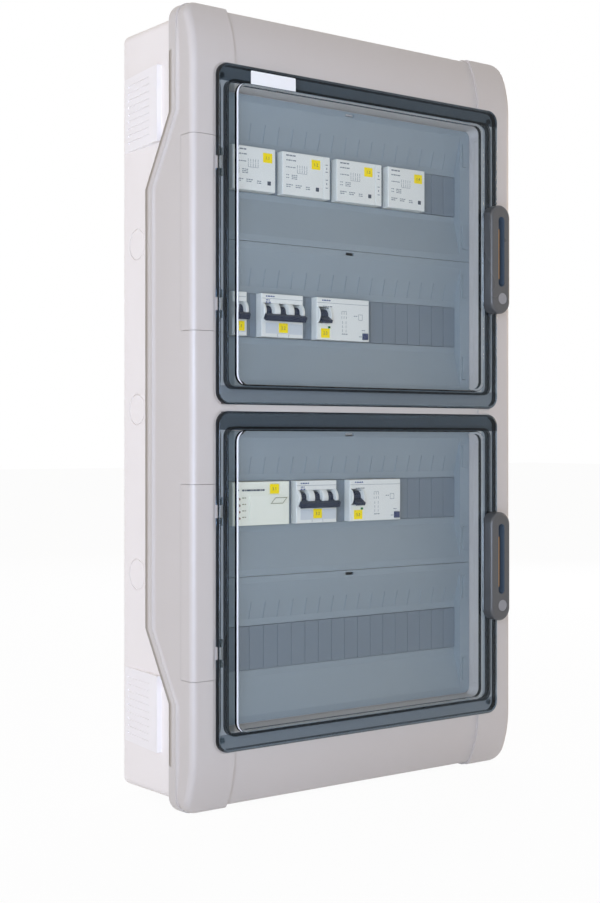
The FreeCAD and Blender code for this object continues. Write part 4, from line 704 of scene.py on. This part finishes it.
def skirtBeadPiece(name, side):
    bead = skirtBead
    lid = bpy.data.objects["lid_frame"]
    runs, step, width = bead["runs"], bead["step"], bead["foot"] - bead["start"]
    heights = [runs[0]]
    for low, high in zip(runs, runs[1:]):
        count = math.ceil((high - low) / step)
        heights += [low + (high - low) * index / count for index in range(1, count + 1)]
    inwards = [bead["start"] + width * index / bead["samples"] for index in range(bead["samples"] + 1)]
    points = []
    normals = []
    for height in heights:
        climb = skirtEdge(height + step) - skirtEdge(height - step)
        across = Vector((0, -2 * step, -climb)).normalized()
        fade = min(1.0, (runs[-1] - abs(height)) / (runs[-1] - runs[-2]))
        ring = [(inward, skirtBeadHeight(inward) * fade) for inward in inwards]
        ring += [(bead["foot"], -bead["root"]), (bead["start"], -bead["root"])]
        for inward, rise in ring:
            # a ray from outside finds the lid's face, without the rise of the flat band along its rim
            depth = -(skirtEdge(height) + inward) * mm
            _, spot, _, _ = lid.ray_cast((side * bead["rayStart"] * mm, depth, height * mm), (-side, 0, 0))
            face = abs(spot.x) / mm - (bead["bandRise"] if inward < bead["bandWidth"] else 0.0)
            points.append((side * (face + rise) * mm, depth, height * mm))
            tilt = math.radians(skirtBeadTilt(inward) * fade)
            normals.append(Vector((side * math.cos(tilt), 0, 0)) + across * math.sin(tilt))
    size = len(inwards) + 2
    faces = []
    for row in range(0, (len(heights) - 1) * size, size):
        for index in range(size):
            after = (index + 1) % size
            faces.append([row + index, row + after, row + size + after, row + size + index])
    faces += [list(range(size)), list(range((len(heights) - 1) * size, len(heights) * size))]
    mesh = bpy.data.meshes.new(name)
    mesh.from_pydata(points, [], faces)
    piece = bpy.data.objects.new(name, mesh)
    bpy.context.scene.collection.objects.link(piece)
    deselect()
    bpy.context.view_layer.objects.active = piece
    piece.select_set(True)
    bpy.ops.object.mode_set(mode="EDIT")
    closeMesh()
    bpy.ops.object.shade_smooth()
    mesh.normals_split_custom_set_from_vertices(normals)
    seat(piece, "lidPolystyrene")


skirtBeadPiece("skirt_bead_left", -1)
skirtBeadPiece("skirt_bead_right", 1)
print("skirt beads done")


studio = {
    "camera": (-0.8734, -1.2975, -0.032), "turn": 34.5, "lens": 53.98, "sensor": 36, "shift": -0.012735,
    "nearest": 0.01, "aim": (0, -0.1, 0), "floorSize": 30,
    "airColour": "#FFF5EA", "air": 0.4, "paper": "#F4F3F1", "glow": 0.96,
    "lamps": {
        "windowLamp": {"at": (-1.25, -1.4, -0.1), "size": 1.1, "power": 33, "colour": "#CFE0FF"},
        "sideLamp": {"at": (-2.8, -0.4, 1.5), "size": 1.8, "power": 15, "colour": "#FFF4EA"},
        "rightLamp": {"at": (2.4, -0.9, 0.5), "size": 0.6, "power": 9, "colour": "#FFE0BE"},
        "backLamp": {"at": (1.7, 1.6, 0.9), "size": 1.4, "power": 32, "colour": "#E8EEFF"},
    },
}

camera = bpy.data.objects.new("camera", bpy.data.cameras.new("camera"))
camera.location = studio["camera"]
camera.rotation_euler = (math.radians(90), 0, math.radians(-studio["turn"]))
camera.data.lens = studio["lens"]
camera.data.sensor_width = studio["sensor"]
camera.data.shift_y = studio["shift"]
camera.data.clip_start = studio["nearest"]
bpy.context.scene.collection.objects.link(camera)
bpy.context.scene.camera = camera
bpy.context.scene.view_settings.view_transform = "Standard"

for name, lamp in studio["lamps"].items():
    light = bpy.data.lights.new(name, "AREA")
    light.size = lamp["size"]
    light.energy = lamp["power"]
    light.color = linear(lamp["colour"])[:3]
    holder = bpy.data.objects.new(name, light)
    holder.location = lamp["at"]
    holder.visible_camera = False
    beam = Vector(studio["aim"]) - Vector(lamp["at"])
    holder.rotation_euler = beam.to_track_quat("-Z", "Y").to_euler()
    bpy.context.scene.collection.objects.link(holder)


# 1 where the backdrop itself is looked at, also in gloss and through the doors, and 0 where it gives light
def lookedAt(tree):
    path = addNode(tree, "LightPath")
    seen = addNode(tree, "Math", {"operation": "MAXIMUM"},
                   {0: path.outputs["Is Camera Ray"], 1: path.outputs["Is Transmission Ray"]})
    return addNode(tree, "Math", {"operation": "MAXIMUM"}, {0: seen, 1: path.outputs["Is Glossy Ray"]})


# the backdrop is pure white to look at, and a soft air light to everything else
world = bpy.data.worlds.new("studioAir")
bpy.context.scene.world = world
world.use_nodes = True
world.node_tree.nodes.clear()
tree = world.node_tree
air = addNode(tree, "Background", {"Color": linear(studio["airColour"]), "Strength": studio["air"]})
white = addNode(tree, "Background", {"Color": linear("#FFFFFF"), "Strength": 1.0})
mixed = addNode(tree, "MixShader", {}, {0: lookedAt(tree), 1: air, 2: white})
addNode(tree, "OutputWorld", {}, {"Surface": mixed})

# the floor keeps a faint shadow: a small share of what is looked at is the lit paper
deselect()
bpy.ops.mesh.primitive_plane_add(size=studio["floorSize"], location=(0, 0, cadBox[0][2]))
floor = bpy.context.object
floor.name = "floor"
material, tree = newMaterial("studioPaper")
paper = addNode(tree, "BsdfDiffuse", {"Color": linear(studio["paper"])})
glow = addNode(tree, "Emission", {"Color": linear("#FFFFFF"), "Strength": 1.0})
share = addNode(tree, "Math", {"operation": "MULTIPLY", 1: studio["glow"]}, {0: lookedAt(tree)})
both = addNode(tree, "MixShader", {}, {0: share, 1: paper, 2: glow})
addNode(tree, "OutputMaterial", {}, {"Surface": both})
floor.data.materials.append(material)
print("stage set")
